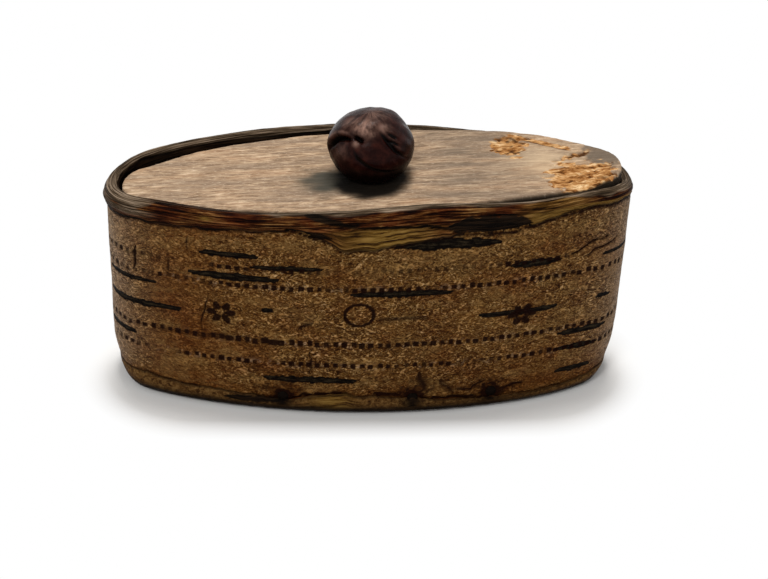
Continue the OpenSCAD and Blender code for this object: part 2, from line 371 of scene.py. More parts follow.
def bark_finish():
    """Crackle lines and fine grains, calmer in places, on patches of a few millimetres, under the masks."""
    material, tree, places, shader = start_finish("stamped_bark")
    grains = scaled_noise(tree, places, (0.75, 1.5, 1), 12.5, 2.5, 0.55, curl=2.0)
    crackle = scaled_noise(tree, places, (1, 1.35, 1), 9, 2.5, 0.55, curl=2.2)
    wrinkles = scaled_noise(tree, places, (0.8, 1.5, 1), 3.4, 3, 0.5, curl=1.6)
    fibres = scaled_noise(tree, places, (1.6, 9, 1), 3.2, 6, 0.65)
    patches = scaled_noise(tree, places, (1, 1.4, 1), 1.3, 4, 0.6)
    calm = ramp(tree, scaled_noise(tree, places, (0.7, 1.5, 1), 1.1, 3, 0.55), [(0.46, 0.0), (0.64, 0.35)])
    calm = lay_over(tree, 1.0, calm, ramp(tree, mask(tree, "shade_and_tone"), [(0.15, 0.0), (0.7, 0.45)]), "LIGHTEN")
    tone = lay_over(tree, calm, lay_over(tree, 0.55, crackle, grains), calm_tone)
    colour = ramp(tree, tone, [(0.38, (0.012, 0.003, 0.0005)), (0.45, (0.082, 0.030, 0.006)),
                               (0.51, (0.195, 0.090, 0.022)), (0.57, (0.320, 0.176, 0.060)),
                               (0.66, (0.500, 0.320, 0.155))])
    reddish, golden = (0.660, 0.400, 0.300), (0.225, 0.118, 0.027)
    colour = tint(tree, colour, patches, [(0.46, 0.0), (0.64, 0.5)], reddish, "MULTIPLY")
    colour = tint(tree, colour, fibres, [(0.52, 0.0), (0.68, 0.40)], golden)
    lines = ramp(tree, crackle, [(0.445, 0.0), (0.48, 0.85), (0.51, 0.85), (0.545, 0.0)])
    long_lines = ramp(tree, wrinkles, [(0.48, 0.0), (0.495, 0.7), (0.505, 0.7), (0.52, 0.0)])
    lines = lay_over(tree, calm, lay_over(tree, 1.0, lines, long_lines, "LIGHTEN"), black)
    colour = lay_over(tree, lines, colour, (0.030, 0.009, 0.002))
    # Painted shade: darker low down, at the front left and round the pegs, with darker tone in random
    # patches.
    colour = lay_over(tree, mask(tree, "shade_and_tone"), colour, (0.640, 0.480, 0.360), "MULTIPLY")
    worn = lay_over(tree, mask(tree, "worn"), black, ramp(tree, tone, [(0.42, 0.1), (0.56, 0.75)]))
    colour = lay_over(tree, worn, colour, (0.262, 0.148, 0.048))
    # Painted sheen at the two ends, and painted highlights on the skin between the stamps, laid on as a pale
    # colour.
    pale_and_sheen = lay_over(tree, mask(tree, "pale_and_sheen"), black, ramp(tree, tone, [(0.40, 0.2), (0.56, 0.9)]))
    colour = lay_over(tree, pale_and_sheen, colour, (0.430, 0.305, 0.200))
    core = lay_over(tree, ramp(tree, fibres, [(0.40, 0.0), (0.60, 1.0)]), black, mask(tree, "slit"))
    core = ramp(tree, core, [(0.30, (0.003, 0.0015, 0.001)), (0.95, (0.030, 0.021, 0.011))])
    colour = tint(tree, colour, mask(tree, "slit"), [(0.06, 0.0), (0.24, 1.0)], core)
    # Stamps, ring, flowers and cracks in their own dark colour; the same mask carries painted shade in
    # creases, along the lips and round the pegs.
    colour = tint(tree, colour, mask(tree, "dark_marks"), [(0.08, 0.0), (0.64, 0.96)], (0.009, 0.002, 0.001))
    set_shader(tree, shader, colour, ramp(tree, tone, [(0.38, 0.58), (0.62, 0.36)]), bark_specular)
    raise_bump(tree, shader, lay_over(tree, lines, tone, black), 0.9, 0.0004)
    return material


def lip_finish():
    """Thin layers seen on edge: long streaks along the run, dark between and golden on the layers."""
    material, tree, places, shader = start_finish("lip_bark")
    layers = scaled_noise(tree, places, (0.6, 13, 1), 2.2, 8, 0.72, curl=0.35)
    grains = scaled_noise(tree, places, (1, 1.4, 1), 12, 6, 0.68, curl=1.2)
    patches = scaled_noise(tree, places, (1, 2, 1), 1.6, 4, 0.6)
    hairs = scaled_noise(tree, places, (0.4, 24, 1), 2.0, 3, 0.6, curl=0.2)
    streaks = ramp(tree, layers, [(0.42, (0.002, 0.0005, 0.0002)), (0.49, (0.030, 0.007, 0.001)),
                                  (0.55, (0.110, 0.040, 0.009)), (0.64, (0.290, 0.160, 0.054))])
    streaks = tint(tree, streaks, patches, [(0.42, 0.0), (0.58, 0.8)], (0.450, 0.180, 0.120), "MULTIPLY")
    foot = ramp(tree, grains, [(0.36, (0.020, 0.007, 0.002)), (0.50, (0.092, 0.042, 0.011)),
                               (0.64, (0.175, 0.096, 0.032))])
    edges = lay_over(tree, 0.5, layers, hairs)
    crest = ramp(tree, edges, [(0.42, (0.012, 0.007, 0.004)), (0.50, (0.062, 0.040, 0.022)),
                               (0.60, (0.285, 0.208, 0.142))])
    peel = ramp(tree, layers, [(0.41, (0.016, 0.005, 0.001)), (0.48, (0.125, 0.062, 0.010)),
                               (0.60, (0.255, 0.152, 0.038))])
    shade = ramp(tree, layers, [(0.46, (0.002, 0.001, 0.0005)), (0.62, (0.022, 0.011, 0.005))])
    colour = streaks
    # On the tube, the slit mask lays on painted shade.
    for name, pigment in (("peel", peel), ("foot", foot), ("crest", crest), ("slit", shade)):
        colour = lay_over(tree, mask(tree, name), colour, pigment)
    set_shader(tree, shader, colour, 0.45, bark_specular)
    raise_bump(tree, shader, lay_over(tree, mask(tree, "foot"), layers, grains), 0.8, 0.0003)
    return material


bark_face, lip_bark = bark_finish(), lip_finish()
print("finishes:", bark_face.name, lip_bark.name)

# %% [markdown]
# ## The jacket's pattern
# The jacket is a strip of bark wrapped once round the tube and lapped at the back. Its face is a table
# of runs and heights. Each mark on it is a formula of those two: a row of stamps repeats along the run,
# the punched ring is a distance from its centre, a flower repeats round its centre by the angle, and a
# lenticel is a thin spindle. The same formulas press the surface in and darken it.

# %% Jacket pattern
# Stamps in a row, half their size, and how many forces and drifts are drawn for a row
stamp_count, stamp_size, stamp_draws = 136, 0.43, 200
stamp_pitch = round_box / stamp_count
stamp_rows = {"top": 28.3, "upper": 24.95, "middle": 14.35, "lower": 10.05}
# How hard each row was struck, and how much of that is left at least, on the left and on the right
row_strength = {"top": (0.9, 0.10, 0.10), "upper": (1.5, 0.40, 0.80), "middle": (2.4, 0.65, 0.65),
                "lower": (1.6, 0.15, 0.60)}
ring_at, ring_half = (-2.2, 20.2), (2.42, 2.08)
flowers_at = [(-25.5, 19.2), (25.9, 18.4)]
flower_half, petal_half, petal_middle, petal_count = (2.45, 2.05), (0.42, 0.27), 0.66, 6
# Lenticels: middle run, height, half length, half thickness
slits = [(-24.1, 30.7, 5.1, 0.48), (-14.4, 28.8, 6.0, 0.42), (-23.4, 26.5, 7.7, 0.62),
         (-42.4, 23.3, 5.6, 0.40), (-40.3, 18.7, 8.2, 0.52), (-10.4, 7.0, 8.2, 0.55),
         (-17.4, 20.5, 1.6, 0.24), (4.8, 24.1, 8.7, 0.55), (12.2, 32.5, 8.9, 0.75),
         (27.7, 28.0, 4.5, 0.55), (25.3, 19.1, 7.3, 0.50), (38.0, 13.3, 4.9, 0.55),
         (37.0, 10.1, 4.3, 0.50), (36.9, 5.4, 3.7, 0.50), (44.5, 27.6, 4.5, 0.28),
         (41.4, 19.4, 2.0, 0.30), (-45.0, 12.4, 4.2, 0.45)]
faint_slit = (5.0, 19.4, 4.8, 0.36)
# How many times thicker each is drawn, and how many more lie round the back
slit_swell, back_slits = 1.2, 15
# Creases and cracks, drawn dark, which in the creases is painted shade: from run and height, to run and
# height, half width, strength
creases = [(-10.3, 8.3, -10.3, 13.7, 0.16, 0.6), (-28.9, 15.3, -28.1, 22.7, 0.16, 0.6),
           (-40.7, 25.3, -40.3, 29.9, 0.26, 0.7), (-34.5, 25.6, -34.5, 28.4, 0.22, 0.5),
           (8.0, 8.4, 9.8, 4.5, 0.95, 0.5), (12.0, 6.8, 14.6, 3.3, 0.75, 0.45),
           (0.5, 4.5, 5.6, 3.6, 0.40, 0.8), (10.4, 3.2, 19.8, 2.2, 0.34, 0.8),
           (22.8, 3.4, 27.4, 4.2, 0.32, 0.7), (15.0, 4.8, 17.6, 4.1, 0.34, 0.6),
           (17.4, 4.1, 19.8, 5.9, 0.30, 0.6), (-13.8, 3.0, -9.6, 4.1, 0.30, 0.7),
           (-9.6, 4.1, -3.8, 4.9, 0.26, 0.6), (33.9, 28.6, 41.5, 31.0, 0.20, 0.8),
           (36.3, 27.4, 44.0, 30.2, 0.26, 0.6), (-31.5, 30.5, -30.9, 33.4, 0.20, 0.5),
           (-12.6, 17.0, -9.8, 18.4, 0.40, 0.5)]
print(len(slits), "lenticels on the front, stamps every", round(stamp_pitch, 2), "mm")


# %% Jacket marks
def ragged_edge(run, height):
    """Two scales of unevenness, longer along the run, that fray the edge of a mark."""
    return lattice(run * 1.4, height * 2.2, 3) + 0.6 * lattice(run * 3.1, height * 4.0, 4)


def spindle(run, height, slit, ragged, core=0.8):
    """1 in the core of a spindle whose thickness falls to nothing at its two ends, 0 at its ragged edge."""
    middle, level, half_l, half_h = slit
    half_h = slit_swell * half_h
    along = (run - middle) / half_l
    across = (height - level) / (half_h * np.sqrt(np.clip(1 - along ** 2, 1e-4, 1)))
    return np.where(np.abs(along) < 1, 1 - ease(np.abs(across) + 0.25 * ragged, core, 1.12), 0)


def stamp_row(run, height, level, seed, smeared):
    """Square stamps at a steady pitch: near in both directions, each struck with its own force, and in
    places worn into one line."""
    number = np.round(run / stamp_pitch)
    which = number.astype(int) % stamp_draws
    draw = np.random.default_rng(seed)
    force = draw.uniform(0.6, 1.0, stamp_draws)[which]
    drift = draw.uniform(-0.16, 0.16, stamp_draws)[which]
    wide = 1 - ease(np.abs(run - number * stamp_pitch - drift), stamp_size * 0.8, stamp_size * 1.25)
    reach = stamp_size * (1 + 0.35 * smeared)
    tall = 1 - ease(np.abs(height - level - drift), reach * 0.8, reach * 1.25)
    smear = 0.9 * smeared * ease(lattice(run * 0.35, run * 0, seed), -0.4, 0.1)
    return force * np.maximum(wide, smear) * tall


def ring_mark(run, height):
    """A thin line where the distance from the centre, in half sizes, is one."""
    across = np.hypot((run - ring_at[0]) / ring_half[0], (height - ring_at[1]) / ring_half[1])
    return 1 - ease(np.abs(across - 1), 0.06, 0.16)


def flower_mark(run, height, centre, ragged):
    """Strokes repeat round the centre: fold the angle into one stroke, then measure from its middle."""
    x, y = (run - centre[0]) / flower_half[0], (height - centre[1]) / flower_half[1]
    step = 2 * np.pi / petal_count
    angle = np.mod(np.arctan2(y, x) + step / 2, step) - step / 2
    radius = np.hypot(x, y)
    along, across = radius * np.cos(angle) - petal_middle, radius * np.sin(angle)
    petal = np.hypot(along / petal_half[0], across / petal_half[1]) + 0.2 * ragged
    return 1 - ease(petal, 0.7, 1.15)


def crease_mark(run, height, crease):
    """Strongest on a straight stroke between two places, by the distance from it; wavy, thin at its ends."""
    run_0, height_0, run_1, height_1, wide, force = crease
    length = np.hypot(run_1 - run_0, height_1 - height_0)
    along = ((run - run_0) * (run_1 - run_0) + (height - height_0) * (height_1 - height_0)) / length
    aside = ((run - run_0) * (height_1 - height_0) - (height - height_0) * (run_1 - run_0)) / length
    aside = aside + 0.4 * lattice(along / 1.3, along * 0 + run_0, 31)
    swell = np.sqrt(np.clip(4 * along / length * (1 - along / length), 0, 1))
    return force * bell(aside, 0.02 + wide * swell) * (swell > 0)


print("marks:", len(stamp_rows), "rows,", len(flowers_at), "flowers,", len(creases), "creases")

# %% [markdown]
# ## Where the lips end
# The upper lip hangs over the jacket and the lower lip stands up before it, and neither ends straight.
# Both edges are drawn as a few heights along the run with small waves on them. The jacket reads them to
# tuck itself under the lips, and the tube reads them again to end there. The pegs go through the lower
# lip into the bottom board and pinch the bark round them.

# %% Lip edges and pegs
peg_height, front_pegs = 3.2, np.array([-15.0, 7.5, 21.5])
peg_runs = np.concatenate([front_pegs, np.mod(front_pegs, round_box) - round_box / 2])
# Along the run: how far the upper lip hangs below the rim, and how far the lower lip stands up
lip_hang = np.array([(-101, 4.0), (-80, 3.6), (-60, 4.2), (-50, 4.0), (-43, 3.5), (-38, 3.7), (-34, 3.6),
                     (-28.5, 3.3), (-23.5, 3.0), (-18.5, 2.8), (-13.5, 2.7), (-9, 4.2), (-7, 5.1),
                     (-5.8, 6.1), (-4.4, 6.5), (-0.4, 6.4), (3.3, 6.0), (7, 5.5), (10.8, 4.9), (13, 4.7),
                     (19, 4.8), (24, 4.3), (29, 3.0), (34, 2.6), (38, 2.3), (44, 2.2), (52, 2.8), (60, 3.8),
                     (80, 4.3), (101, 4.0)])
foot_stand = np.array([(-101, 3.0), (-60, 3.2), (-46, 4.2), (-39.5, 4.4), (-33, 3.4), (-26, 3.6), (-19, 3.0),
                       (-14, 2.5), (-10.7, 3.5), (-7.2, 4.0), (-4.1, 4.5), (-2.2, 3.7), (0.7, 4.0),
                       (5.2, 3.5), (10.7, 2.8), (19.8, 2.1), (28.8, 2.0), (34.4, 2.4), (42, 3.2), (60, 3.0),
                       (101, 3.0)])


def lip_reach(run):
    """How far the upper lip hangs below the rim: the set curve with small waves."""
    waves = 0.15 * lattice(run * 0.4, run * 0, 41) + 0.07 * lattice(run * 2.1, run * 0, 42)
    return np.interp(run, *lip_hang.T) + waves


def foot_reach(run):
    """How far the lower lip stands up from the table: the set curve with small waves."""
    waves = 0.15 * lattice(run * 0.35, run * 0, 43) + 0.10 * lattice(run * 1.3, run * 0, 45)
    return np.interp(run, *foot_stand.T) + waves


def peg_gap(run):
    """Distance along the run to the nearest peg, the way round taken at its shorter side."""
    gap = np.abs(run[..., None] - peg_runs)
    return np.minimum(gap, round_box - gap).min(-1)


def nearest_peg(run, height):
    """Distance on the surface to the nearest peg."""
    return np.hypot(peg_gap(run), height - peg_height)


print("upper lip hangs", lip_hang[:, 1].min(), "to", lip_hang[:, 1].max(), "mm,", len(peg_runs), "pegs")

# %% [markdown]
# ## The jacket's face
# The face lies a layer below the lips. It swells and dips softly, as bark does when it dries, and is
# pinched in round each peg. At the back the strip's free end lies over the other, which shows as a
# step. Each function below takes the same table of runs and heights and gives one share of the face.

# %% Jacket face
# How deep the face lies, the run from the seam's step to the middle of the back, and the step's height
face_depth, seam_half, seam_t = 0.65, 5.5, 0.5


def jacket_slits(s, z, ragged):
    """The lenticels of the front, and others at random places round the back."""
    slit = np.max([spindle(s, z, each, ragged, 0.2) for each in slits], 0)
    draw = np.random.default_rng(11)
    for _ in range(back_slits):
        way = draw.choice([-1, 1]) * draw.uniform(50, 96)
        each = (way, draw.uniform(6, 32), draw.uniform(3, 8), draw.uniform(0.35, 0.6))
        slit = np.maximum(slit, spindle(s, z, each, ragged, 0.2))
    return slit


def jacket_stamps(s, z, ragged):
    """The struck rows, which fade in places, with the ring and flowers; and the skin between the stamps, for
    a painted highlight.
    """
    smeared = bell(z - stamp_rows["middle"], 2) * bell(s + 18, 15)
    fade = 0.62 + 0.70 * lattice(s / 6, z / 5 + 20, 5)
    rightward = ease(s, 14, 26)
    struck = []
    for k, (name, (strength, left, right)) in enumerate(row_strength.items()):
        force = strength * np.maximum(fade, left + (right - left) * rightward) + 1.2 * smeared
        struck.append(np.clip(force, 0, 1) * stamp_row(s, z, stamp_rows[name], 20 + k, smeared))
    dark_marks = np.max(struck, 0)
    in_rows = sum(bell(z - level, 0.55) for name, level in stamp_rows.items() if name != "top")
    flowers = [flower_mark(s, z, at, ragged) for at in flowers_at]
    faint = 0.5 * spindle(s, z, faint_slit, ragged)
    return np.max([dark_marks, ring_mark(s, z), *flowers, faint], 0), in_rows * (dark_marks <= 0.02)


def jacket_folds(s, z, ragged):
    """Creases, and painted shade: dark lines where the face goes under the upper lip and behind the lower
    one.
    """
    creased = np.clip(1.3 * np.max([crease_mark(s, z, each) for each in creases], 0), 0, 1)
    # Painted shade: a dark line just below the upper lip's edge, and one just above the lower lip.
    shade_under_lip = 0.9 * bell(z - box_h + lip_reach(s) + 0.12, 0.24 + 0.10 * ease(s, 20, 28))
    shade_over_foot = 0.7 * bell(z - foot_reach(s), 0.24) * ease(lattice(s * 0.22, z * 0, 15), -0.5, 0.4)
    return creased, np.maximum(shade_under_lip, shade_over_foot) * np.clip(0.95 + 0.4 * ragged, 0.4, 1)


def jacket_depth(s, z, dark_marks, slit, creased):
    """Depth = soft swells, less what marks and pegs press in, plus the seam, all tucked under the lips."""
    pinch = bell(nearest_peg(s, z) - 0.6, 2.2)
    seam = ease(s, round_box / 2 - seam_half - 0.12, round_box / 2 - seam_half)
    seam = seam + (1 - ease(s, -round_box / 2 + 2, -round_box / 2 + 11))
    swell = 0.10 * lattice(s / 9, z / 7, 7) + 0.05 * lattice(s / 3, z / 2.4, 8)
    swell = swell + 0.02 * lattice(s * 1.6, z * 2.4, 9)
    depth = -face_depth + swell - 0.16 * dark_marks - 0.10 * slit - 0.28 * pinch - 0.15 * creased + seam_t * seam
    tucked = ease(z - box_h + lip_reach(s), 0.0, 0.5) + ease(foot_reach(s) - z, 0.0, 0.5)
    return np.minimum(depth, -0.04) - 0.45 * tucked


def jacket_masks(s, z, ragged, dark_marks, slit, between):
    """Where the bark is stamped, slit or worn golden; painted sheen at the ends and painted highlights
    between the stamps; painted shade round the pegs, low down and at the front left, with darker tone in
    patches.
    """
    from_peg = nearest_peg(s, z)
    worn = 0.7 * ease(lattice(s / 5, z / 2.2 + 40, 6) + 0.5 * lattice(s, z * 2, 13), 0.1, 0.9)
    worn = np.maximum(worn, 0.8 * bell(z - 33, 2.0) * ease(ragged, -0.6, 0.6))
    worn = np.maximum(worn, 0.8 * bell(z - 30.4, 2.2) * bell(s - 11, 11))
    pucker = ease(lattice(s * 0.9, z * 1.6, 14) + 0.6 * ragged, 0.1, 0.7) * bell(from_peg, 4.5)
    # Painted shade round the pegs, where the bark is pinched and wrinkled.
    dark_marks = np.clip(np.max([dark_marks, 0.85 * pucker, bell(from_peg + 0.9 * ragged, 2.0)], 0), 0, 1)
    # Painted sheen at the two ends, and painted highlights between the stamps.
    pale_and_sheen = 0.9 * bell(np.abs(s) - end_run, 8.5) * ease(z, 2, 9)
    pale_and_sheen = np.maximum(pale_and_sheen, 0.5 * between * ease(ragged, 0.0, 0.8)) * (1 - slit)
    cloud = lattice(s / 6, z / 4, 16)
    # Painted shade low down, at the front left and round the pegs; the cloud adds darker tone in patches.
    shade_and_tone = np.maximum(0.6 * bell(s + 32, 9), 0.55 * (1 - ease(z, 3.5, 8))) + 0.45 * ease(cloud, 0.0, 0.8)
    shade_and_tone = np.maximum(shade_and_tone, 0.8 * bell(from_peg, 5.5))
    return dict(dark_marks=dark_marks, slit=slit, worn=worn * (1 - slit), pale_and_sheen=pale_and_sheen, shade_and_tone=np.clip(shade_and_tone, 0, 1))


print("face lies", face_depth, "mm below the lips, and steps by", seam_t, "mm at the seam")

# %% [markdown]
# ## The jacket
# Now the shares are put together. Rows of points lie closest where the stamped rows run, because small
# squares need them there. The hidden inner side needs only two rows, so nearly all go to the face.

# %% Jacket piece
jacket_low, jacket_high = (corner.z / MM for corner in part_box("bark_jacket"))
jacket_columns, jacket_rows, jacket_t = 828, 112, 1.1
# Even heights from which the rows are taken
fine_rows = 4000
# How far above the face's last row the map goes on, for the two hidden rows and the closing one
hidden_map = np.array([1, 30, 31])


def jacket_heights():
    """Rows of points from the foot to the rim, closest together where the stamped rows run."""
    even = np.linspace(jacket_low, jacket_high, fine_rows)
    crowd = 1 + sum(0.9 * bell(even - level, 0.9) for level in stamp_rows.values())
    share = np.cumsum(crowd) / crowd.sum()
    return np.interp(np.linspace(0, 1, jacket_rows), share, even)


def make_jacket():
    """The face by rows of heights, closed by two rows at the depth of the hidden inner side."""
    run = np.linspace(-round_box / 2, round_box / 2, jacket_columns + 1)
    levels = jacket_heights()
    s, z = np.meshgrid(run[:-1], levels)
    ragged = ragged_edge(s, z)
    slit = jacket_slits(s, z, ragged)
    dark_marks, between = jacket_stamps(s, z, ragged)
    creased, painted_shade_lines = jacket_folds(s, z, ragged)
    # The creases and the painted shade lines along the lips join the mask of stamps and other dark marks.
    dark_marks = np.maximum.reduce([dark_marks, creased, painted_shade_lines])
    face = jacket_depth(s, z, dark_marks, slit, creased)
    depth = np.concatenate([face, np.full((2, jacket_columns), -face_depth - jacket_t)])
    rows = np.concatenate([np.arange(len(levels)), [-1, 0]])
    points = wall_points(s[rows], z[rows], settle(s[rows], z[rows], depth))
    blank = np.zeros((2, jacket_columns))
    masks = {key: np.concatenate([values, blank])
             for key, values in jacket_masks(s, z, ragged, dark_marks, slit, between).items()}
    across = np.concatenate([levels, levels[-1] + hidden_map]) / CM
    faces = grid_faces(len(points), jacket_columns, True)
    return new_piece("bark_jacket_face", points, faces, grid_map(run / CM, across), masks, bark_face)


jacket = make_jacket()
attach(jacket, "box")
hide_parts("bark_jacket")

# %% [markdown]
# ## The tube and its lips
# The tube is one seamless cylinder of bark, drawn off the tree whole. Soaked in hot water, its ends
# split into layers as they are turned outward. Its section is a closed line: up the lower lip, up the
# hidden wall, out again and over the rolled rim, and down the inside. Carrying that line round the oval
# gives the whole piece. How far a lip reaches changes along the run, and its layers end one by one.

# %% Tube section
# A lip's thickness, and the radius to which the rim is rolled
lip_t, rim_r = 0.6, 1.45
# Tears in the upper lip: middle run, depth below the rim, half length, half height, slope
lip_tears = [(19.0, 3.1, 7.2, 1.45, 0.0), (-7.4, 0.95, 4.6, 0.45, 0.28), (-10.9, 3.1, 3.9, 0.42, 0.24),
             (2.2, 2.5, 6.6, 0.22, 0.05), (9.9, 3.0, 3.4, 0.24, 0.22)]
# Shares of the upper lip at which its layers end, and how much of its thickness each one takes away
layer_shares, layer_step = (0.35, 0.62, 0.83), 0.16


def torn_at(run, below):
    """1 inside any tear: a thin spindle that slopes, with a ragged edge."""
    ragged = ragged_edge(run, below)
    return np.max([spindle(run, below - slope * (run - at), (at, deep, half_l, half_h), ragged)
                   for at, deep, half_l, half_h, slope in lip_tears], 0)


def lower_lip(s, share, stand, foot_r):
    """Depth and height up the lower lip: a round foot, a face that thins to its edge, dents at the pegs."""
    up = share * stand
    depth = np.where(up < foot_r, -foot_r + np.sqrt(np.clip(foot_r ** 2 - (foot_r - up) ** 2, 0, None)), 0)
    depth = depth - 0.44 * ease(share, 0.72, 1) + 0.05 * lattice(s * 0.9, up * 2.5, 44) - 0.06
    dent = 0.35 * bell(peg_gap(s), 2.2) * ease(up, 0.8, 2.2)
    return depth - dent * (1 + 0.6 * lattice(s * 2.2, up, 46)), up


def upper_lip(s, down, reach, roll, inset):
    """Depth down the upper lip: thinner as its layers end one by one, waving along the run, and torn."""
    depth = -inset - (0.30 - 0.4 * inset) * (down / reach) ** 1.5
    for k, share in enumerate(layer_shares):
        end = share * reach + 0.5 * lattice(s * 0.45, s * 0, 50 + k) + 0.2 * lattice(s * 1.9, s * 0, 60 + k)
        depth = depth - lip_t * layer_step * ease(down - end, -0.06, 0.06)
    depth = depth + 0.08 * lattice(s * 0.14, down * 2.7, 70) + 0.04 * lattice(s * 0.9, down * 6, 71)
    return np.minimum(depth - 0.33 * torn_at(s, down + roll), 0.12)


def rolled_rim(s, angle, roll, inset):
    """Depth and height over the rim: half a circle, with fine ridges along the run."""
    ridge = 0.09 * lattice(s * 0.11, angle * 3.7, 73) + 0.05 * lattice(s * 0.5, angle * 8, 74) - 0.05
    depth = -roll + (roll + ridge - np.where(angle < np.pi / 2, inset, 0)) * np.cos(angle)
    return depth, box_h - roll + (roll + ridge) * np.sin(angle)


print("rim is rolled to", rim_r, "mm, with", len(lip_tears), "tears below it")

# %% [markdown]
# What colour shows depends on which stretch of the section it is. The rim's crest is worn grey, the torn
# part of the upper lip shows golden inner layers, the foot is grainy, and shade gathers in tears, at
# edges, round the pegs and inside. Each mask is given by stretch, and is nothing on the others.

# %% Tube masks
# A long slit low on the left, and the middle of the golden layers in the lower lip
low_slit_at, gold_foot = (-19.5, 2.5, 5.7, 0.45), -6.5


def shade_masks(s, at, uneven, front_left, left_end):
    """Painted shade on each stretch: its tears and edges, the pegs, the foot's underside, the rim's inner
    half and the inside; only the low slit is a real lenticel.
    """
    angle, up, down, behind, roll = at["angle"], at["up"], at["down"], at["behind"], at["roll"]
    below_rim = roll * (1 - np.sin(np.minimum(angle, np.pi / 2)))
    edge = ease(down - at["reach"], -0.45, -0.25) + 0.8 * left_end * (1 - behind) * ease(down, 1.2, 1.7)
    rim = 0.7 * front_left * ease(angle + 0.3 * uneven, 1.2, 1.5)
    rim = rim + ease(angle + 0.2 * uneven - 0.45 * behind, 2.3, 2.6)
    rim = rim + torn_at(s, below_rim) * (angle < np.pi / 2)
    low_slit = spindle(s + 0 * up, up, low_slit_at, lattice(s * 1.4, up * 2.2, 3))
    pegs = bell(peg_gap(s), 2.1) * ease(up, 0.8, 1.8)
    underside = 0.97 * (1 - ease(up + 0.5 * ease(s, 18, 32), 1.2, 2.8))
    lip_line = 0.6 * ease(up - at["stand"], -0.35, -0.15)
    return dict(upper=torn_at(s, down + roll) + 0.8 * edge, rim=rim, inside=1.0,
                lower=np.maximum.reduce([low_slit, pegs, underside, lip_line]))


def tube_masks(s, at):
    """Golden peel, grey crest, shade and grainy foot, each by stretch; they change from left to right."""
    angle, down, behind, roll = at["angle"], at["down"], at["behind"], at["roll"]
    uneven = lattice(s * 0.5, angle * 1.2, 75)
    from_left, from_middle, from_right = ease(s, -40, -35), ease(s, -21, -15), ease(s, 22, 28)
    front_left, left_end, ahead = from_left * (1 - from_middle), 1 - from_left, 1 - behind
    right_grey = 0.95 + 0.3 * ease(s, 20, 28) - 0.8 * ease(s, 31, 37)
    grey_from = 0.1 + ahead * (1.25 * front_left + right_grey * from_middle)
    greyed = ease(angle + 0.25 * uneven, grey_from - 0.1, grey_from + 0.25) * (1 - 0.55 * front_left)
    crest = dict(rim=greyed, upper=(left_end + behind) * (1 - ease(down, 0.6, 1.6)))
    below_rim = roll * (1 - np.sin(np.minimum(angle, np.pi / 2)))
    flake = bell(s + 27.7, 0.9) * bell(below_rim - 1.1, 0.35)
    peel = dict(upper=bell(s - 1.5, 10) ** 2 * ease(down + roll, 2.2, 2.9) + 0.80 * from_right * ahead,
                rim=0.35 * from_right * (1 - ease(s, 33, 39)) + flake, lower=bell(s - gold_foot, 5))
    foot = dict(lower=1 - 0.85 * bell(s - gold_foot, 5), under=1.0)
    # The tube's slit mask is the painted shade above.
    return dict(peel=peel, crest=crest, slit=shade_masks(s, at, uneven, front_left, left_end), foot=foot)


print("golden layers in the foot at a run of", gold_foot, "mm")

# %% [markdown]
# The stretches are joined in their order round the section, and carried round the oval.

# %% Tube piece
tube_columns = 720
# Shares at which rows of points lie on each stretch
section_rows = dict(lower=np.linspace(0, 1, 22), hidden=np.array([0.25, 0.75]), upper=np.linspace(0, 1, 50),
                    rim=np.linspace(0, 1, 40)[1:], under=np.linspace(0, 1, 6)[1:-1],
                    inside=np.array([0.03, 0.07, 0.12, 0.16, 0.3, 0.5, 0.7, 0.9, 1]))
# The hidden wall between the lips: where it starts below the outline, and how much deeper it goes
hidden_from, hidden_deep = 0.62, 0.9


def tube_stretches(s):
    """Depth and height of each stretch, in order round the section, and the measures that masks need."""
    rows = {key: share[:, None] for key, share in section_rows.items()}
    far = np.abs(s)
    behind = ease(far, 56, 70)
    roll = rim_r * (1 - 0.40 * behind)
    foot_r = 2.0 + 0.6 * bell(far - end_run, 11)
    inset = 0.45 * ease(s, 8, 30) * (1 - behind)
    hang, stand = lip_reach(s), foot_reach(s)
    reach, angle = hang - roll, rows["rim"] * np.pi
    down = (1 - rows["upper"]) * reach
    lower, up = lower_lip(s, rows["lower"], stand, foot_r)
    hidden, level = rows["hidden"], 0 * rows["hidden"]
    wall = -2 * roll - (stack - 2 * roll) * ease(rows["inside"], 0.0, 0.13)
    stretches = dict(
        lower=(lower, up),
        behind_lower=(-hidden_from - hidden_deep * hidden + 0 * s, stand - 0.1 + level),
        behind_upper=(-hidden_from - hidden_deep * (1 - hidden) + 0 * s, box_h - hang + 0.1 + level),
        upper=(upper_lip(s, down, reach, roll, inset), box_h - roll - down),
        rim=rolled_rim(s, angle, roll, inset),
        inside=(wall, box_h - roll - rows["inside"] * (box_h - roll)),
        under=(-stack + rows["under"] * (stack - foot_r) + 0 * s, 0 * rows["under"] + 0 * s))
    return stretches, dict(angle=angle, up=up, down=down, behind=behind, roll=roll, reach=reach, stand=stand)


def make_tube():
    """Each stretch gives a depth from the outline and a height for every run; warped as the jacket is."""
    run = np.linspace(-round_box / 2, round_box / 2, tube_columns + 1)
    s = run[None, :-1]
    stretches, at = tube_stretches(s)
    height = np.concatenate([heights for _, heights in stretches.values()])
    depth = settle(s, height, np.concatenate([depths for depths, _ in stretches.values()]))
    points = wall_points(np.broadcast_to(s, depth.shape), height, depth)
    masks = {}
    for key, shares in tube_masks(s, at).items():
        values = [np.broadcast_to(shares.get(name, 0.0), depths.shape)
                  for name, (depths, _) in stretches.items()]
        masks[key] = np.clip(np.concatenate(values), 0, 1)
    steps = np.hypot(np.diff(depth.mean(1)), np.diff(height.mean(1)))
    across = np.concatenate([[0], np.cumsum(steps), [steps.sum() + 1]]) / CM
    faces = grid_faces(len(depth), tube_columns, True)
    return new_piece("bark_tube_lips", points, faces, grid_map(run / CM, across), masks, lip_bark)


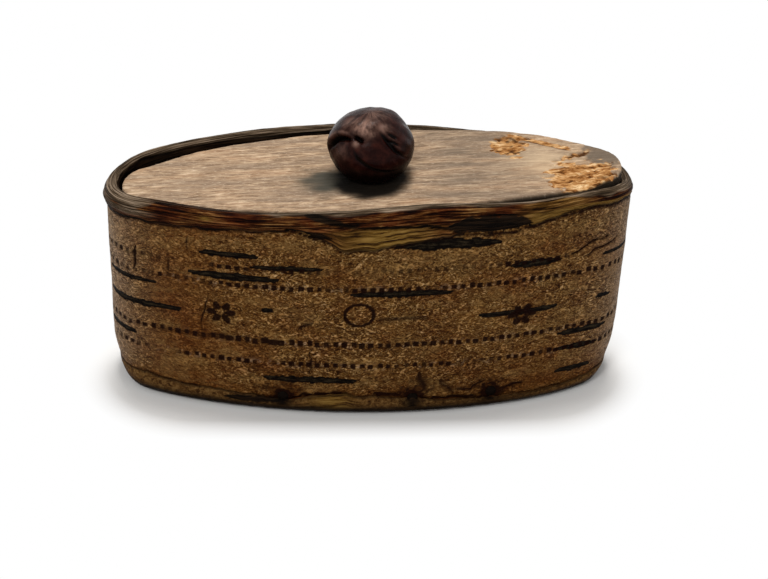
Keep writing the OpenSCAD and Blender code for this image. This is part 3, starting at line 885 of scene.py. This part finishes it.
tube = make_tube()
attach(tube, "box")
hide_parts("bark_tube")

# %% [markdown]
# ## The lining and the bottom
# Inside, a second strip of bark stands on the bottom board, and its upper edge is the ledge that stops
# the lid. It is hidden until the lid is lifted. The lining is a plain ring with a soft wave, paler
# because no hand has rubbed it. The bottom board's solid is right as it is and only needs its wood.


# %% Lining and bottom
def inner_bark_finish():
    """Inner bark: warm and even, with short dark pores along the run."""
    material, tree, places, shader = start_finish("inner_bark")
    fibres = scaled_noise(tree, places, (1.2, 8, 1), 3, 6, 0.65)
    pores = scaled_noise(tree, places, (2, 16, 1), 1.7, 3, 0.5)
    blots = scaled_noise(tree, places, (1, 1.4, 1), 1.6, 5, 0.65)
    colour = ramp(tree, fibres, [(0.34, (0.062, 0.026, 0.010)), (0.50, (0.150, 0.076, 0.032)),
                                 (0.66, (0.270, 0.155, 0.072))])
    colour = tint(tree, colour, pores, [(0.58, 0.0), (0.64, 0.8)], (0.030, 0.013, 0.006))
    colour = tint(tree, colour, blots, [(0.46, 0.0), (0.64, 0.75)], (0.036, 0.018, 0.010))
    set_shader(tree, shader, colour, 0.62)
    raise_bump(tree, shader, fibres, 0.4, 0.0002)
    return material


def old_wood_finish():
    """Wood of the bottom board: grain along the length, read from the object's own place in metres."""
    material, tree, _, shader = start_finish("old_wood")
    places = add_node(tree, "ShaderNodeTexCoord").outputs["Object"]
    grain = scaled_noise(tree, places, (60, 900, 900), 1, 6, 0.62)
    broad = scaled_noise(tree, places, (20, 220, 220), 1, 3, 0.5)
    colour = ramp(tree, grain, [(0.32, (0.085, 0.045, 0.022)), (0.52, (0.190, 0.112, 0.058)),
                                (0.70, (0.300, 0.195, 0.110))])
    colour = tint(tree, colour, broad, [(0.45, 0.0), (0.65, 0.5)], (0.110, 0.066, 0.036))
    set_shader(tree, shader, colour, 0.66)
    raise_bump(tree, shader, grain, 0.4, 0.0002)
    return material


def make_lining():
    """A closed ring: up its outer side, over the ledge, down its inner side, which waves a little."""
    columns, gap, thick, outer_rows, inner_rows, map_end = 480, 0.05, 1.6, 6, 30, 70
    low, high = (corner.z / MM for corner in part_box("ledge_liner"))
    run = np.linspace(-round_box / 2, round_box / 2, columns + 1)
    s = run[None, :-1]
    height = np.concatenate([np.linspace(low, high - 0.35, outer_rows), [high - 0.1, high, high - 0.1],
                             np.linspace(high - 0.35, low, inner_rows), [low]])[:, None] + 0 * s
    inner = np.concatenate([np.zeros(outer_rows), [0.12, 0.5, 0.88], np.ones(inner_rows), [0.5]])[:, None]
    wave = 0.16 * lattice(s / 8, height / 9, 81) + 0.05 * lattice(s, height / 2, 82) - 0.16
    depth = -(stack + gap) - inner * (thick + np.where(inner == 1, wave, 0)) + 0 * s
    xy, outward = walk(box_oval, np.broadcast_to(s, depth.shape))
    points = np.concatenate([xy + depth[..., None] * outward, height[..., None]], -1)
    across = np.concatenate([[0], np.cumsum(np.abs(np.diff(height[:, 0])) + 0.3), [map_end]]) / CM
    faces = grid_faces(len(height), columns, True)
    return new_piece("ledge_lining", points, faces, grid_map(run / CM, across), {}, inner_bark_finish())


lining = make_lining()
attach(lining, "box")
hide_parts("ledge_liner")
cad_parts["bottom_board"].material_slots[0].material = old_wood_finish()
print("bottom board keeps its solid")

# %% [markdown]
# ## Pegs
# Six whittled pegs go through the bark into the bottom board, and one longer pin will hold the thong
# under the lid. A whittled stick is a round one with flats: the radius changes with the angle, tapers to
# a point at one end, and is worn round at the other. One function makes them all.

# %% Whittled sticks
# Length, radius, how far the head stands out (here it is sunk), and the share that tapers
peg_l, peg_r, peg_proud, peg_point = 8.0, 1.0, -0.72, 0.25


def stick_wood_finish():
    """Dark, handled wood with its grain along the stick."""
    material, tree, places, shader = start_finish("stick_wood")
    grain = scaled_noise(tree, places, (14, 2, 1), 3, 5, 0.6)
    colour = ramp(tree, grain, [(0.35, (0.0015, 0.001, 0.0008)), (0.55, (0.0050, 0.003, 0.002)),
                                (0.72, (0.024, 0.014, 0.008))])
    set_shader(tree, shader, colour, 0.5, 0.015)
    raise_bump(tree, shader, grain, 0.35, 0.00015)
    return material


def whittled_sticks(name, starts, directions, length, radius, point, material, seed):
    """Rings along each stick. Radius = taper x flats, closed by a worn head and a blunt tip."""
    turns, rings = 28, 26
    share = np.linspace(0, 1, rings)
    taper = np.interp(share, [0, 0.02, 0.06, 1 - point, 1], [0.72, 0.93, 1, 1, 0.5])
    taper[[0, -1]] = 0
    along = share * length
    along[1], along[-2] = 0.02 * radius, length - 0.01 * radius
    angle = np.linspace(0, 2 * np.pi, turns + 1)
    turn = angle[:-1]
    tables, faces = [], []
    square = grid_faces(rings, turns, False)
    for k, (start, way) in enumerate(zip(starts, directions)):
        side = np.cross(way, [0.0, 0.0, 1.0])
        side = side / np.linalg.norm(side)
        lift_way = np.cross(side, way)
        flats = 1 - 0.07 * np.abs(np.sin(2.5 * turn + k)) + 0.03 * lattice(turn * 3, turn * 0 + k, seed)
        out = radius * taper[:, None] * flats
        ring = out[..., None] * (np.cos(turn)[:, None] * side + np.sin(turn)[:, None] * lift_way)
        tables.append(start + along[:, None, None] * way + ring)
        faces.append(square + k * rings * turns)
    corners = np.tile(grid_map(angle * radius / CM, along / CM), (len(tables), 1))
    points = np.concatenate([table.reshape(-1, 3) for table in tables])
    return new_piece(name, points, np.concatenate(faces), corners, {}, material, merge=0.0005)


stick_wood = stick_wood_finish()
peg_xy, peg_out = walk(box_oval, peg_runs)
peg_starts = np.column_stack([peg_xy + peg_proud * peg_out, np.full(len(peg_runs), peg_height)])
peg_ways = np.column_stack([-peg_out, np.zeros(len(peg_runs))])
pegs = whittled_sticks("bottom_peg_set", peg_starts, peg_ways, peg_l, peg_r, peg_point, stick_wood, 90)
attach(pegs, "box")
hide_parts("bottom_pegs")

# %% [markdown]
# ## The lid's own frame
# The lid lies askew: its left end is down on the ledge and its right end is up on the rim. Everything on
# it is worked out flat, about the middle of its underside, and then turned and moved once. The slope is
# the rise from the ledge to the rim over the mouth's length, just as the real lid finds it.

# %% Lid frame
# The mouth's half length, the ledge's depth below the rim, the lid's clearance above both, and its turn
mouth_half, ledge_drop, lid_seat, lid_turn = box_oval["a"] - stack, 4.5, 0.25, np.radians(0.5)
lid_over, lid_end_gap, lid_t = 0.4, 0.5, 2.6
lid_slope = ledge_drop / (2 * mouth_half + rim_r)
lid_tilt = np.arctan(lid_slope)
lid_x = lid_over + lid_end_gap
lid_place = np.array([lid_x, 0, box_h - ledge_drop + lid_seat + lid_slope * (mouth_half + lid_x)])
tilt_cos, tilt_sin = np.cos(lid_tilt), np.sin(lid_tilt)
turn_cos, turn_sin = np.cos(lid_turn), np.sin(lid_turn)
tilted = np.array([[tilt_cos, 0, -tilt_sin], [0, 1, 0], [tilt_sin, 0, tilt_cos]])
turned = np.array([[turn_cos, -turn_sin, 0], [turn_sin, turn_cos, 0], [0, 0, 1]])
lid_axes = turned @ tilted


def on_lid(points):
    """From the lid's flat frame to its place on the box."""
    return points @ lid_axes.T + lid_place


print("lid tilts by", round(float(np.degrees(lid_tilt)), 2), "degrees")

# %% [markdown]
# ## The lid's wood
# The board is weathered softwood: grey-tan, streaked along the length, stained dark beside the knot, and
# fresh orange where it has been gnawed. The streaks are noises stretched along the board. The gnawed
# places, the stain, and painted shade under the knot, on the board's sides and in the gnawed gaps come
# as masks with the mesh, so that colour and relief agree.


# %% Lid finish
def lid_wood_finish():
    """Grey-tan weathered wood, streaked along the length; fresh wood where gnawed; a stain, and painted shade
    by the knot, on the sides and in the gaps.
    """
    material, tree, places, shader = start_finish("weathered_lid")
    grain = scaled_noise(tree, places, (0.75, 5.5, 1), 3.6, 7, 0.70, 0.04, 0.5)
    lines = scaled_noise(tree, places, (0.40, 9, 1), 3.2, 5, 0.65, 0.04, 0.5)
    broad = scaled_noise(tree, places, (0.30, 2.4, 1), 1.7, 4, 0.6, 0.03)
    flecks = scaled_noise(tree, places, (1.5, 4.5, 1), 8, 5, 0.68)
    chew = scaled_noise(tree, places, (0.65, 3.2, 1), 4.4, 6, 0.66, 0.22, 0.9)
    colour = ramp(tree, grain, [(0.36, (0.170, 0.105, 0.060)), (0.46, (0.340, 0.222, 0.134)),
                                (0.55, (0.490, 0.335, 0.208)), (0.66, (0.680, 0.505, 0.340))])
    colour = tint(tree, colour, broad, [(0.40, 0.65), (0.54, 0.0)], (0.225, 0.158, 0.108))
    colour = tint(tree, colour, broad, [(0.54, 0.0), (0.66, 0.55)], (0.400, 0.232, 0.128))
    colour = tint(tree, colour, lines, [(0.34, 0.6), (0.43, 0.0)], (0.150, 0.092, 0.058))
    colour = tint(tree, colour, flecks, [(0.55, 0.0), (0.68, 0.6)], (0.720, 0.570, 0.410))
    colour = tint(tree, colour, flecks, [(0.34, 0.4), (0.44, 0.0)], (0.180, 0.112, 0.070))
    colour = lay_over(tree, mask(tree, "pale_and_sheen"), colour, (0.640, 0.465, 0.290))
    fresh = ramp(tree, chew, [(0.36, (0.080, 0.027, 0.006)), (0.44, (0.290, 0.116, 0.029)),
                              (0.53, (0.530, 0.275, 0.100)), (0.66, (0.820, 0.580, 0.320))])
    colour = tint(tree, colour, mask(tree, "fresh"), [(0.30, 0.0), (0.60, 1.0)], fresh)
    # Grey and stain are the wood's own colour; the gap and the knot's black mask are painted shade in the
    # gnawed gaps, under the knot and on the board's sides.
    soil_and_shade = dict(grey=(0.130, 0.100, 0.073), stain=(0.050, 0.048, 0.037), gap=(0.045, 0.017, 0.006),
                painted_shade=(0.005, 0.004, 0.003))
    for name, pigment in soil_and_shade.items():
        colour = lay_over(tree, mask(tree, name), colour, pigment)
    set_shader(tree, shader, colour, 0.68, 0.06)
    relief = lay_over(tree, mask(tree, "fresh"), lay_over(tree, 0.5, grain, flecks), chew)
    raise_bump(tree, shader, relief, 0.7, 0.0004)
    return material


lid_wood = lid_wood_finish()
print("finish:", lid_wood.name)

# %% [markdown]
# ## The lid's relief
# The board's hard late growth stands up as fine ridges along the length, and its right end has been
# gnawed: two pits of torn fibres, a channel from one of them and a zigzag. A pit is an oval distance with
# an uneven edge. Every height and mask is a formula of a place on the board, so no pixel is painted.

# %% Lid relief
chewed_t = 0.75


def patch(x, y, centre, half, edge):
    """1 inside an oval patch, with an edge made uneven by noise."""
    return 1 - ease(np.hypot((x - centre[0]) / half[0], (y - centre[1]) / half[1]) + edge, 0.75, 1.05)


def gnawed_places(x, y, edge):
    """The first pit, the middle line of its channel, the zigzag, and all gnawed places in one mask."""
    first = patch(x, y, (23.4, 6.0), (3.2, 3.5), edge)
    second = patch(x, y, (34.4, -4.9), (7.2, 5.9), edge)
    bend = 9.3 - 0.54 * (x - 24.6)
    channel = 1 - ease(np.abs(y - bend) + 0.2 * edge, 0.45, 0.85)
    channel = channel * ease(x, 22.5, 24.5) * (1 - ease(x, 32.5, 34.5))
    zigzag = bell(y - 1.4 - 0.45 * (x - 32) - 0.5 * lattice(x * 1.3, x * 0, 113), 0.75)
    zigzag = zigzag * ease(x, 31, 32) * (1 - ease(x, 36, 37.5))
    chewed = np.clip(np.maximum.reduce([first, 0.95 * channel, second, 0.9 * zigzag]), 0, 1)
    return first, bend, zigzag, chewed


def lid_relief(x, y):
    """Height and masks of the upper face: ridges of grain, gnawed places and a split; a stain and painted
    shade by the knot.
    """
    sway = 0.3 * lattice(x / 14, y / 3, 101)
    grain = 0.05 * lattice(x / 9, y * 2.6 + sway, 102) + 0.03 * lattice(x / 5, y * 5.5, 103)
    edge = 0.22 * lattice(x * 0.55, y * 1.2, 104) + 0.16 * lattice(x * 1.7, y * 2.9, 105)
    first, bend, zigzag, chewed = gnawed_places(x, y, edge)
    torn = 0.45 + 0.5 * lattice(x * 0.45, y * 1.6, 106) + 0.4 * lattice(x * 1.2, y * 3.6, 107)
    split = bell(y + 4.9 - 0.2 * (x - 35.3), 0.16) * ease(x, 34.5, 36.5)
    height = grain * (1 - chewed) - chewed_t * chewed * np.clip(torn, 0.05, 1.1) - 0.5 * split
    knot = np.hypot(x + 0.9, 1.1 * (y + 2.2)) + 0.8 * lattice(x / 3, y / 2, 108)
    spread = np.hypot((x + 7.5) / 5.8, (y + 2.0) / 4.6) + 0.25 * lattice(x / 3, y / 1.5, 109)
    # Painted shadow under the knot, and painted shade in the split.
    painted_shade = 0.98 * (1 - ease(knot, 5.4, 7.4)) + 0.8 * split
    stain = 0.95 * (1 - ease(spread, 0.35, 1.40))
    slanted = lattice(x * 1.2 + y * 0.7, y * 2.0 - x * 0.9, 112)
    # Painted shade in the gaps between torn fibres, under the channel's lower edge and in the zigzag.
    gaps = chewed * ease(0.6 * torn + 0.5 * slanted + 0.16 * first, 0.64, 0.86)
    lower_edge = bell(y - bend + 0.75, 0.26) * ease(x, 22, 24) * (1 - ease(x, 32, 34))
    gap = np.maximum.reduce([0.9 * gaps, 0.95 * lower_edge, 0.9 * zigzag * ease(slanted, -0.3, 0.3)])
    grey = 0.85 * patch(x, y, (38.8, 2.4), (3.6, 4.4), 0.6 * edge) * (1 - chewed)
    aged = 0.36 * ease(x, 4, 14) * (1 - 0.9 * ease(x, 20, 30)) * (1 + 0.8 * lattice(x / 7, y / 1.2, 114))
    # A paler patch in the wood's own colour.
    pale_and_sheen = 0.5 * bell(x - 28.5, 6) * bell(y - 0.5, 5) * (1 + 0.6 * lattice(x / 4, y / 1.3, 115))
    masks = dict(fresh=chewed, painted_shade=painted_shade, stain=stain, gap=gap, pale_and_sheen=pale_and_sheen,
                 grey=np.maximum(grey, aged * (1 - chewed)))
    return height, {key: np.clip(values, 0, 1) for key, values in masks.items()}


print("gnawed places are up to", round(1.1 * chewed_t, 2), "mm deep")

# %% [markdown]
# ## The lid board
# The board is a thin oval whose edge is worn round and wanders a little, as a knife cut it. The table of
# points runs round the outline and in from the edge to a spine along the middle, so the grain keeps its
# detail everywhere. The board has also warped: its far side curls up and its near side down.

# %% Lid board
# Gap along the mouth's sides, radius of the board's sides, and how far in its edge is worn round
lid_side_gap, lid_bow, lid_round = 1.2, 118.0, 0.6
# Slopes of the far and the near half, and how far the underside's map lies from the top's, in centimetres
far_curl, near_curl, under_map = 0.075, 0.06, 5
lid_oval = oval_of(mouth_half + lid_over, box_oval["b"] - stack - lid_side_gap, lid_bow)


def lid_outline(run):
    """Points, outward directions and spine of the board. Its edge is cut back behind the right end, and
    is fuller before that end and along the back."""
    quarter = lid_oval["length"] / 4
    plain, outward = walk(lid_oval, run)
    wander = 0.18 * lattice(run / 5, run * 0, 110) - 0.18
    wander = wander - 1.2 * bell(run - quarter - 3.5, 8.5)
    wander = wander + 1.1 * bell(run - quarter + 14, 8)
    wander = wander + 1.7 * ease(np.abs(run) - quarter, 5, 19)
    spine = np.column_stack([np.clip(plain[:, 0], -lid_oval["end_x"], lid_oval["end_x"]), 0 * run])
    return plain + wander[:, None] * outward, outward, spine


def make_lid():
    """Rows: in along the underside, round the worn edge, then in along the top to the spine."""
    columns, top_rows, under_rows, edge_rows = 720, 66, 10, 14
    run = np.linspace(-lid_oval["length"] / 2, lid_oval["length"] / 2, columns + 1)
    xy, outward, spine = lid_outline(run[:-1])
    inner = xy - lid_round * outward
    inward = np.linspace(0, 1, top_rows + 1)[1:, None, None]
    top = inner + inward * (spine - inner)
    below = inner + np.linspace(1, 0, under_rows + 1)[:-1, None, None] * (spine - inner)
    angle = np.linspace(-np.pi / 2, np.pi / 2, edge_rows)[:, None, None]
    edge = inner + lid_round * np.sqrt(np.abs(np.cos(angle))) * outward
    plan = np.concatenate([below, edge, top])
    x, y = plan[..., 0], plan[..., 1]
    relief, masks = lid_relief(x, y)
    rounded = np.sign(angle[:, 0, 0]) * np.sqrt(np.abs(np.sin(angle[:, 0, 0])))
    level = np.concatenate([np.zeros(under_rows), lid_t / 2 * (1 + rounded), np.full(top_rows, lid_t)])
    upper = ease(level, 0.55 * lid_t, lid_t)[:, None]
    height = level[:, None] + relief * upper + 0.03 * lattice(x / 7, y * 0.6, 111) * (1 - upper)
    height = height + np.where(y > 0, far_curl, near_curl * (1 - 0.3 * ease(x, 30, 40))) * y
    masks = {key: values * upper for key, values in masks.items()}
    low_edge = (1 - upper) * ease(level, 0.02, 0.4 * lid_t)[:, None]
    masks["grey"] = np.clip(masks["grey"] + 0.6 * low_edge, 0, 1)
    # Painted shade on the board's side, below its rounded top edge.
    side = (1 - ease(level, 0.72 * lid_t, 0.92 * lid_t)) * ease(level, 0.01, 0.2 * lid_t)
    masks["painted_shade"] = np.maximum(masks["painted_shade"], 0.85 * side[:, None])
    points = on_lid(np.concatenate([plan, height[..., None]], -1))
    closed = np.concatenate([plan, plan[:, :1]], 1) / CM
    along, across = closed[..., 0], closed[..., 1] + np.where(level < lid_t / 2, under_map, 0)[:, None]
    faces = grid_faces(len(plan), columns, False)
    return new_piece("lid_plank", points, faces, grid_map(along, across), masks, lid_wood, merge=0.001)


lid = make_lid()
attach(lid, "lid")
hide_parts("lid_board")

# %% [markdown]
# ## The leather
# Years of fingers have polished the leather nearly black. It is reddish on the swells; a painted
# highlight lies on its top and on the raised edges of the folds as a tan colour, and painted shade makes
# it black in the creases and on its lower half. The mesh says where those are, and a low roughness gives
# the polish.


# %% Leather finish
def leather_finish():
    """Dark polished leather, reddish on the swells, with painted shade in the creases and on its lower half,
    and a painted tan highlight.
    """
    material, tree, places, shader = start_finish("knotted_leather")
    skin = scaled_noise(tree, places, (1, 1, 1), 5, 5, 0.55)
    grains = scaled_noise(tree, places, (1, 1, 1), 42, 4, 0.6)
    colour = ramp(tree, skin, [(0.38, (0.008, 0.0012, 0.0008)), (0.52, (0.015, 0.0028, 0.0018)),
                               (0.66, (0.030, 0.0065, 0.004))])
    painted_highlight = lay_over(tree, mask(tree, "painted_highlight"), black, ramp(tree, skin, [(0.40, 0.25), (0.56, 1.0)]))
    # Painted highlight, laid on as tan, on the top and on the raised edges of the folds.
    colour = lay_over(tree, painted_highlight, colour, (0.270, 0.155, 0.115))
    # Painted shade in the creases and on the knot's lower half.
    colour = tint(tree, colour, mask(tree, "crease"), [(0.25, 0.0), (0.65, 1.0)], (0.0025, 0.0012, 0.001))
    set_shader(tree, shader, colour, ramp(tree, skin, [(0.35, 0.20), (0.7, 0.34)]), 0.05)
    raise_bump(tree, shader, lay_over(tree, 0.45, skin, grains), 0.35, 0.0002)
    return material


leather = leather_finish()
print("finish:", leather.name)

# %% [markdown]
# ## The knot's folds
# A strip of leather was tied in a tight knot and pulled down on the lid. Its folds are drawn as strokes
# on a ball, given by angle round it and height. A point near a stroke is pressed into the crease, and
# one side of the stroke stands over the other, as a lapped fold does.

# %% Knot folds
# Strokes: (angle round, height) in degrees along the crease, its depth, width and the lap beside it
strokes = [([(179, -12), (-175, 5), (-165, 17), (-158, 26), (-145, 33), (-131, 35), (-124, 34)],
            1.2, 0.060, 0.45),
           ([(-128, 41), (-119, 39), (-111, 36), (-104, 32)], 1.1, 0.065, 0.22),
           ([(-81, 54), (-73, 44), (-67, 34), (-61, 23), (-57, 14), (-45, 2), (-32, -6)], 0.50, 0.045, 0.26),
           ([(-63, 44), (-56, 36), (-50, 30)], 0.40, 0.035, 0.12),
           ([(-66, 33), (-57, 27), (-50, 19)], 0.40, 0.030, 0.10),
           ([(-126, 30), (-112, 8), (-92, -8), (-66, -18), (-40, -16)], 0.16, 0.070, 0.12),
           ([(40, -8), (70, 22), (105, 36), (140, 24), (165, 2)], 0.50, 0.090, 0.28),
           ([(10, 30), (45, 52), (95, 60)], 0.32, 0.060, 0.18)]
# Painted highlights, laid on as tan: (angle round, height) in degrees, width, strength
highlight_at = [((-108, 56), 0.24, 1.0), ((-92, 45), 0.10, 0.7), ((-150, 58), 0.20, 0.4),
             ((-66, 52), 0.16, 0.5), ((-118, 29), 0.08, 0.6), ((-60, 78), 0.25, 0.45),
             ((60, 50), 0.25, 0.4), ((-140, 12), 0.22, 0.16)]
# Points along a stroke for each of its bends
bend_points = 12


def on_ball(angle, height):
    """Unit directions from an angle round the ball and a height above its middle, both in radians."""
    return np.stack([np.cos(height) * np.cos(angle), np.cos(height) * np.sin(angle), np.sin(height)], -1)


def stroke_relief(way, stroke, depth, width, lap):
    """Crease depth and fold height from the nearest of many points along the stroke: how far, which side."""
    bends = on_ball(*np.radians(np.array(stroke, float)).T)
    share = np.linspace(0, len(bends) - 1, bend_points * len(bends))
    line = np.stack([np.interp(share, np.arange(len(bends)), bends[:, k]) for k in range(3)], -1)
    line = line / np.linalg.norm(line, axis=-1, keepdims=True)
    aside = np.cross(line, np.gradient(line, axis=0))
    aside = aside / np.linalg.norm(aside, axis=-1, keepdims=True)
    apart = np.linalg.norm(way[:, None, :] - line[None], axis=-1)
    near = apart.argmin(1)
    far = apart[np.arange(len(way)), near]
    side = np.einsum("ij,ij->i", way - line[near], aside[near])
    fade = np.minimum(1, 3.2 * np.minimum(near + 1, len(line) - near) / len(line))
    fold = lap * np.tanh(side / (0.5 * width)) * bell(far, 0.42) * fade
    crease = bell(far, width) * fade
    ridge = bell(far - 2.1 * width, 0.8 * width) * fade * (side > 0)
    return fold - depth * crease, crease, ridge


def knot_relief(way):
    """Height, painted shade in the creases and on the lower half, and painted highlights at unit directions:
    all strokes and highlights together, and dents.
    """
    relief, crease, painted_highlight = np.zeros((3, len(way)))
    for stroke, depth, width, lap in strokes:
        raised, pressed, ridge = stroke_relief(way, stroke, depth, width, lap)
        relief, crease = relief + raised, np.maximum(crease, pressed)
        # Painted highlight on the raised edge of each lap, on the upper half of the knot.
        painted_highlight = np.maximum(painted_highlight, 0.8 * lap * ridge * ease(way[:, 2], 0.1, 0.5))
    for at, wide, force in highlight_at:
        middle = on_ball(*np.radians(np.array(at, float)))
        painted_highlight = np.maximum(painted_highlight, force * bell(np.linalg.norm(way - middle, axis=-1), wide))
    # Painted shade on the knot's lower half.
    crease = np.maximum(crease, 0.6 * (1 - ease(way[:, 2], -0.5, 0.2)))
    dents = 0.12 * lattice(way[:, 0] * 2.2 + 9, way[:, 1] * 2.2 + way[:, 2] * 1.3, 120)
    dents = dents + 0.07 * lattice(way[:, 0] * 6 + 9, way[:, 1] * 6 + way[:, 2] * 4, 121)
    return relief + dents, crease, painted_highlight * (1 - crease)


print(len(strokes), "folds in the knot")

# %% [markdown]
# ## The leather pull
# The ball is a table of angles round it and heights, from the crown down. Below the ball the same table
# narrows to the thong, goes through the lid and ends in the tail, so the pull is one closed skin.

# %% Leather pull
knot_half, knot_foot = np.array([7.1, 6.6, 6.35]), np.radians(52)
knot_shift = np.array([-0.65, 0.0])
knot_columns, knot_rows = 260, 150
thong_r, tail_l = 2.0, 5.0
# The map, in centimetres: the ball's radius, and the step from row to row of the tail
knot_map_r, tail_map_step = 0.7, 0.12
# Radius and height of the rows below the ball
tail_rows = np.array([[3.4, lid_t + 0.02], [thong_r, lid_t - 0.1], [thong_r, 0], [thong_r, -1],
                      [thong_r * 1.04, -2.2], [thong_r * 0.98, -3.4], [thong_r * 1.02, -4.5],
                      [thong_r * 0.86, -tail_l], [0.0, -tail_l]])


def make_pull():
    """Rows run from the crown down the ball, in to the thong, through the lid and round the tail's end."""
    angle = np.linspace(-np.pi, np.pi, knot_columns + 1)
    heights = np.linspace(np.pi / 2, -knot_foot, knot_rows)
    turn, level = np.meshgrid(angle[:-1], heights)
    way = on_ball(turn, level).reshape(-1, 3)
    relief, crease, painted_highlight = knot_relief(way)
    ball = way * (knot_half + relief[:, None])
    ball = ball.reshape(*turn.shape, 3)
    ball[..., 2] = np.maximum(ball[..., 2] + np.sin(knot_foot) * knot_half[2], 0.02) + lid_t
    ball[..., :2] += knot_shift
    tail_turn = turn[: len(tail_rows)]
    tail_z = tail_rows[:, 1:] + 0 * tail_turn
    tail_r = tail_rows[:, :1] * (1 + 0.05 * lattice(tail_turn * 2, tail_z, 122))
    tail = np.stack([tail_r * np.cos(tail_turn), tail_r * np.sin(tail_turn), tail_z], -1)
    points = np.concatenate([ball, tail])[::-1]
    blank = np.zeros(tail.shape[:2])
    masks = {key: np.concatenate([values.reshape(turn.shape), blank])[::-1]
             for key, values in dict(crease=crease, painted_highlight=painted_highlight).items()}
    tail_map = -knot_map_r - tail_map_step * np.arange(1, len(tail_rows) + 1)
    corners = grid_map(angle * knot_map_r, np.concatenate([heights * knot_map_r, tail_map])[::-1])
    faces = grid_faces(len(points), knot_columns, False)
    return new_piece("leather_knot", on_lid(points), faces, corners, masks, leather, merge=0.0005)


pull = make_pull()
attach(pull, "lid")
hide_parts("leather_pull")

# %% [markdown]
# ## The toggle
# Under the lid a small pin goes crosswise through the thong's tail, so that the pull can't be drawn out.
# It is one more whittled stick, laid along the lid's own Y.

# %% Toggle
toggle_l, toggle_r, toggle_drop, toggle_point = 10.0, 1.0, 1.05, 0.12
toggle_start = on_lid(np.array([[0, -toggle_l / 2, -toggle_drop]]))
toggle_way = lid_axes[:, 1][None]
toggle = whittled_sticks("thong_toggle_pin", toggle_start, toggle_way, toggle_l, toggle_r, toggle_point,
                         stick_wood, 91)
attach(toggle, "lid")
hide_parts("thong_toggle")

# %% [markdown]
# ## Floor and light
# The photo was taken on a white sheet under a broad soft light from above. One large lamp, a weaker one
# in front and an even white surround give that. The floor is nearly white and keeps the shadow, and
# further out it turns into plain white for the eye of the camera alone, so no extra light falls on the
# box.

# %% Stage
key_power, key_size, key_place = 3.6, 0.24, np.array([0.0, 0.13, 0.75])
fill_power, fill_size, fill_place = 0.9, 0.16, np.array([-0.18, -0.36, 0.46])
surround_light = 0.48
sheet_half, sheet_colour = 3.0, (0.88, 0.870, 0.850)
# Half length of the line that the shadow lies round, and how far from it the sheet turns into plain white
shadow_line, white_from, white_to = 0.029, 0.0168, 0.0222


def seen_ray(tree):
    """1 for what the camera sees, straight, in a reflection or through something clear; 0 for other light."""
    path = add_node(tree, "ShaderNodeLightPath").outputs
    seen = path["Is Camera Ray"]
    for kind in ("Is Glossy Ray", "Is Transmission Ray"):
        seen = add_node(tree, "ShaderNodeMath", {0: seen, 1: path[kind]}, operation="MAXIMUM").outputs[0]
    return seen


def white_sheet():
    """Lit white near the box, and plain white far from it for the camera and for reflections. Far is the
    distance from a line along the box: fold the place into one quarter, then take off the line's half."""
    material = bpy.data.materials.new("white_sheet")
    material.use_nodes = True
    tree = material.node_tree
    tree.nodes.remove(tree.nodes["Principled BSDF"])
    place = add_node(tree, "ShaderNodeTexCoord").outputs["Object"]
    for how, other in (("ABSOLUTE", {}), ("SUBTRACT", {1: (shadow_line, 0, 0)}), ("MAXIMUM", {1: (0, 0, 0)})):
        place = add_node(tree, "ShaderNodeVectorMath", {0: place, **other}, operation=how).outputs[0]
    away = add_node(tree, "ShaderNodeVectorMath", {0: place}, operation="LENGTH").outputs["Value"]
    fade = {"Value": away, "From Min": white_from, "From Max": white_to}
    share = add_node(tree, "ShaderNodeMapRange", fade)
    blend = add_node(tree, "ShaderNodeMath", {0: share.outputs[0], 1: seen_ray(tree)}, operation="MULTIPLY")
    lit = add_node(tree, "ShaderNodeBsdfDiffuse", {"Color": sheet_colour})
    plain = add_node(tree, "ShaderNodeEmission", {"Color": (1, 1, 1), "Strength": 1.0})
    sides = {0: blend.outputs[0], 1: lit.outputs[0], 2: plain.outputs[0]}
    mixed = add_node(tree, "ShaderNodeMixShader", sides)
    tree.links.new(mixed.outputs[0], tree.nodes["Material Output"].inputs["Surface"])
    return material


def make_floor(half):
    """One square sheet under the box."""
    mesh = bpy.data.meshes.new("floor")
    corners = [(-half, -half, 0), (half, -half, 0), (half, half, 0), (-half, half, 0)]
    mesh.from_pydata(corners, [], [(0, 1, 2, 3)])
    mesh.materials.append(white_sheet())
    floor = bpy.data.objects.new("floor", mesh)
    bpy.context.scene.collection.objects.link(floor)


def make_surround():
    """White for the camera and for reflections; an even soft light for everything else."""
    world = bpy.data.worlds.new("surround")
    world.use_nodes = True
    tree = world.node_tree
    levels = {"Value": seen_ray(tree), "To Min": surround_light, "To Max": 1.0}
    level = add_node(tree, "ShaderNodeMapRange", levels)
    tree.links.new(level.outputs[0], tree.nodes["Background"].inputs["Strength"])
    tree.nodes["Background"].inputs["Color"].default_value = (1, 1, 1, 1)
    bpy.context.scene.world = world


def add_lamp(name, power, size, place):
    """A round soft lamp that looks at the box: its own Z points back along the line from there."""
    lamp_data = bpy.data.lights.new(name, "AREA")
    lamp_data.shape, lamp_data.size, lamp_data.energy = "DISK", size, power
    lamp = bpy.data.objects.new(name, lamp_data)
    back = place / np.linalg.norm(place)
    side = np.cross([0.0, 1.0, 0.0], back)
    side = side / np.linalg.norm(side)
    lamp.matrix_world = pose_matrix(np.stack([side, np.cross(back, side), back], 1), place)
    bpy.context.scene.collection.objects.link(lamp)


make_floor(sheet_half)
make_surround()
add_lamp("soft_key", key_power, key_size, key_place)
add_lamp("front_fill", fill_power, fill_size, fill_place)
bpy.context.scene.view_settings.view_transform = "Standard"
print("stage set")
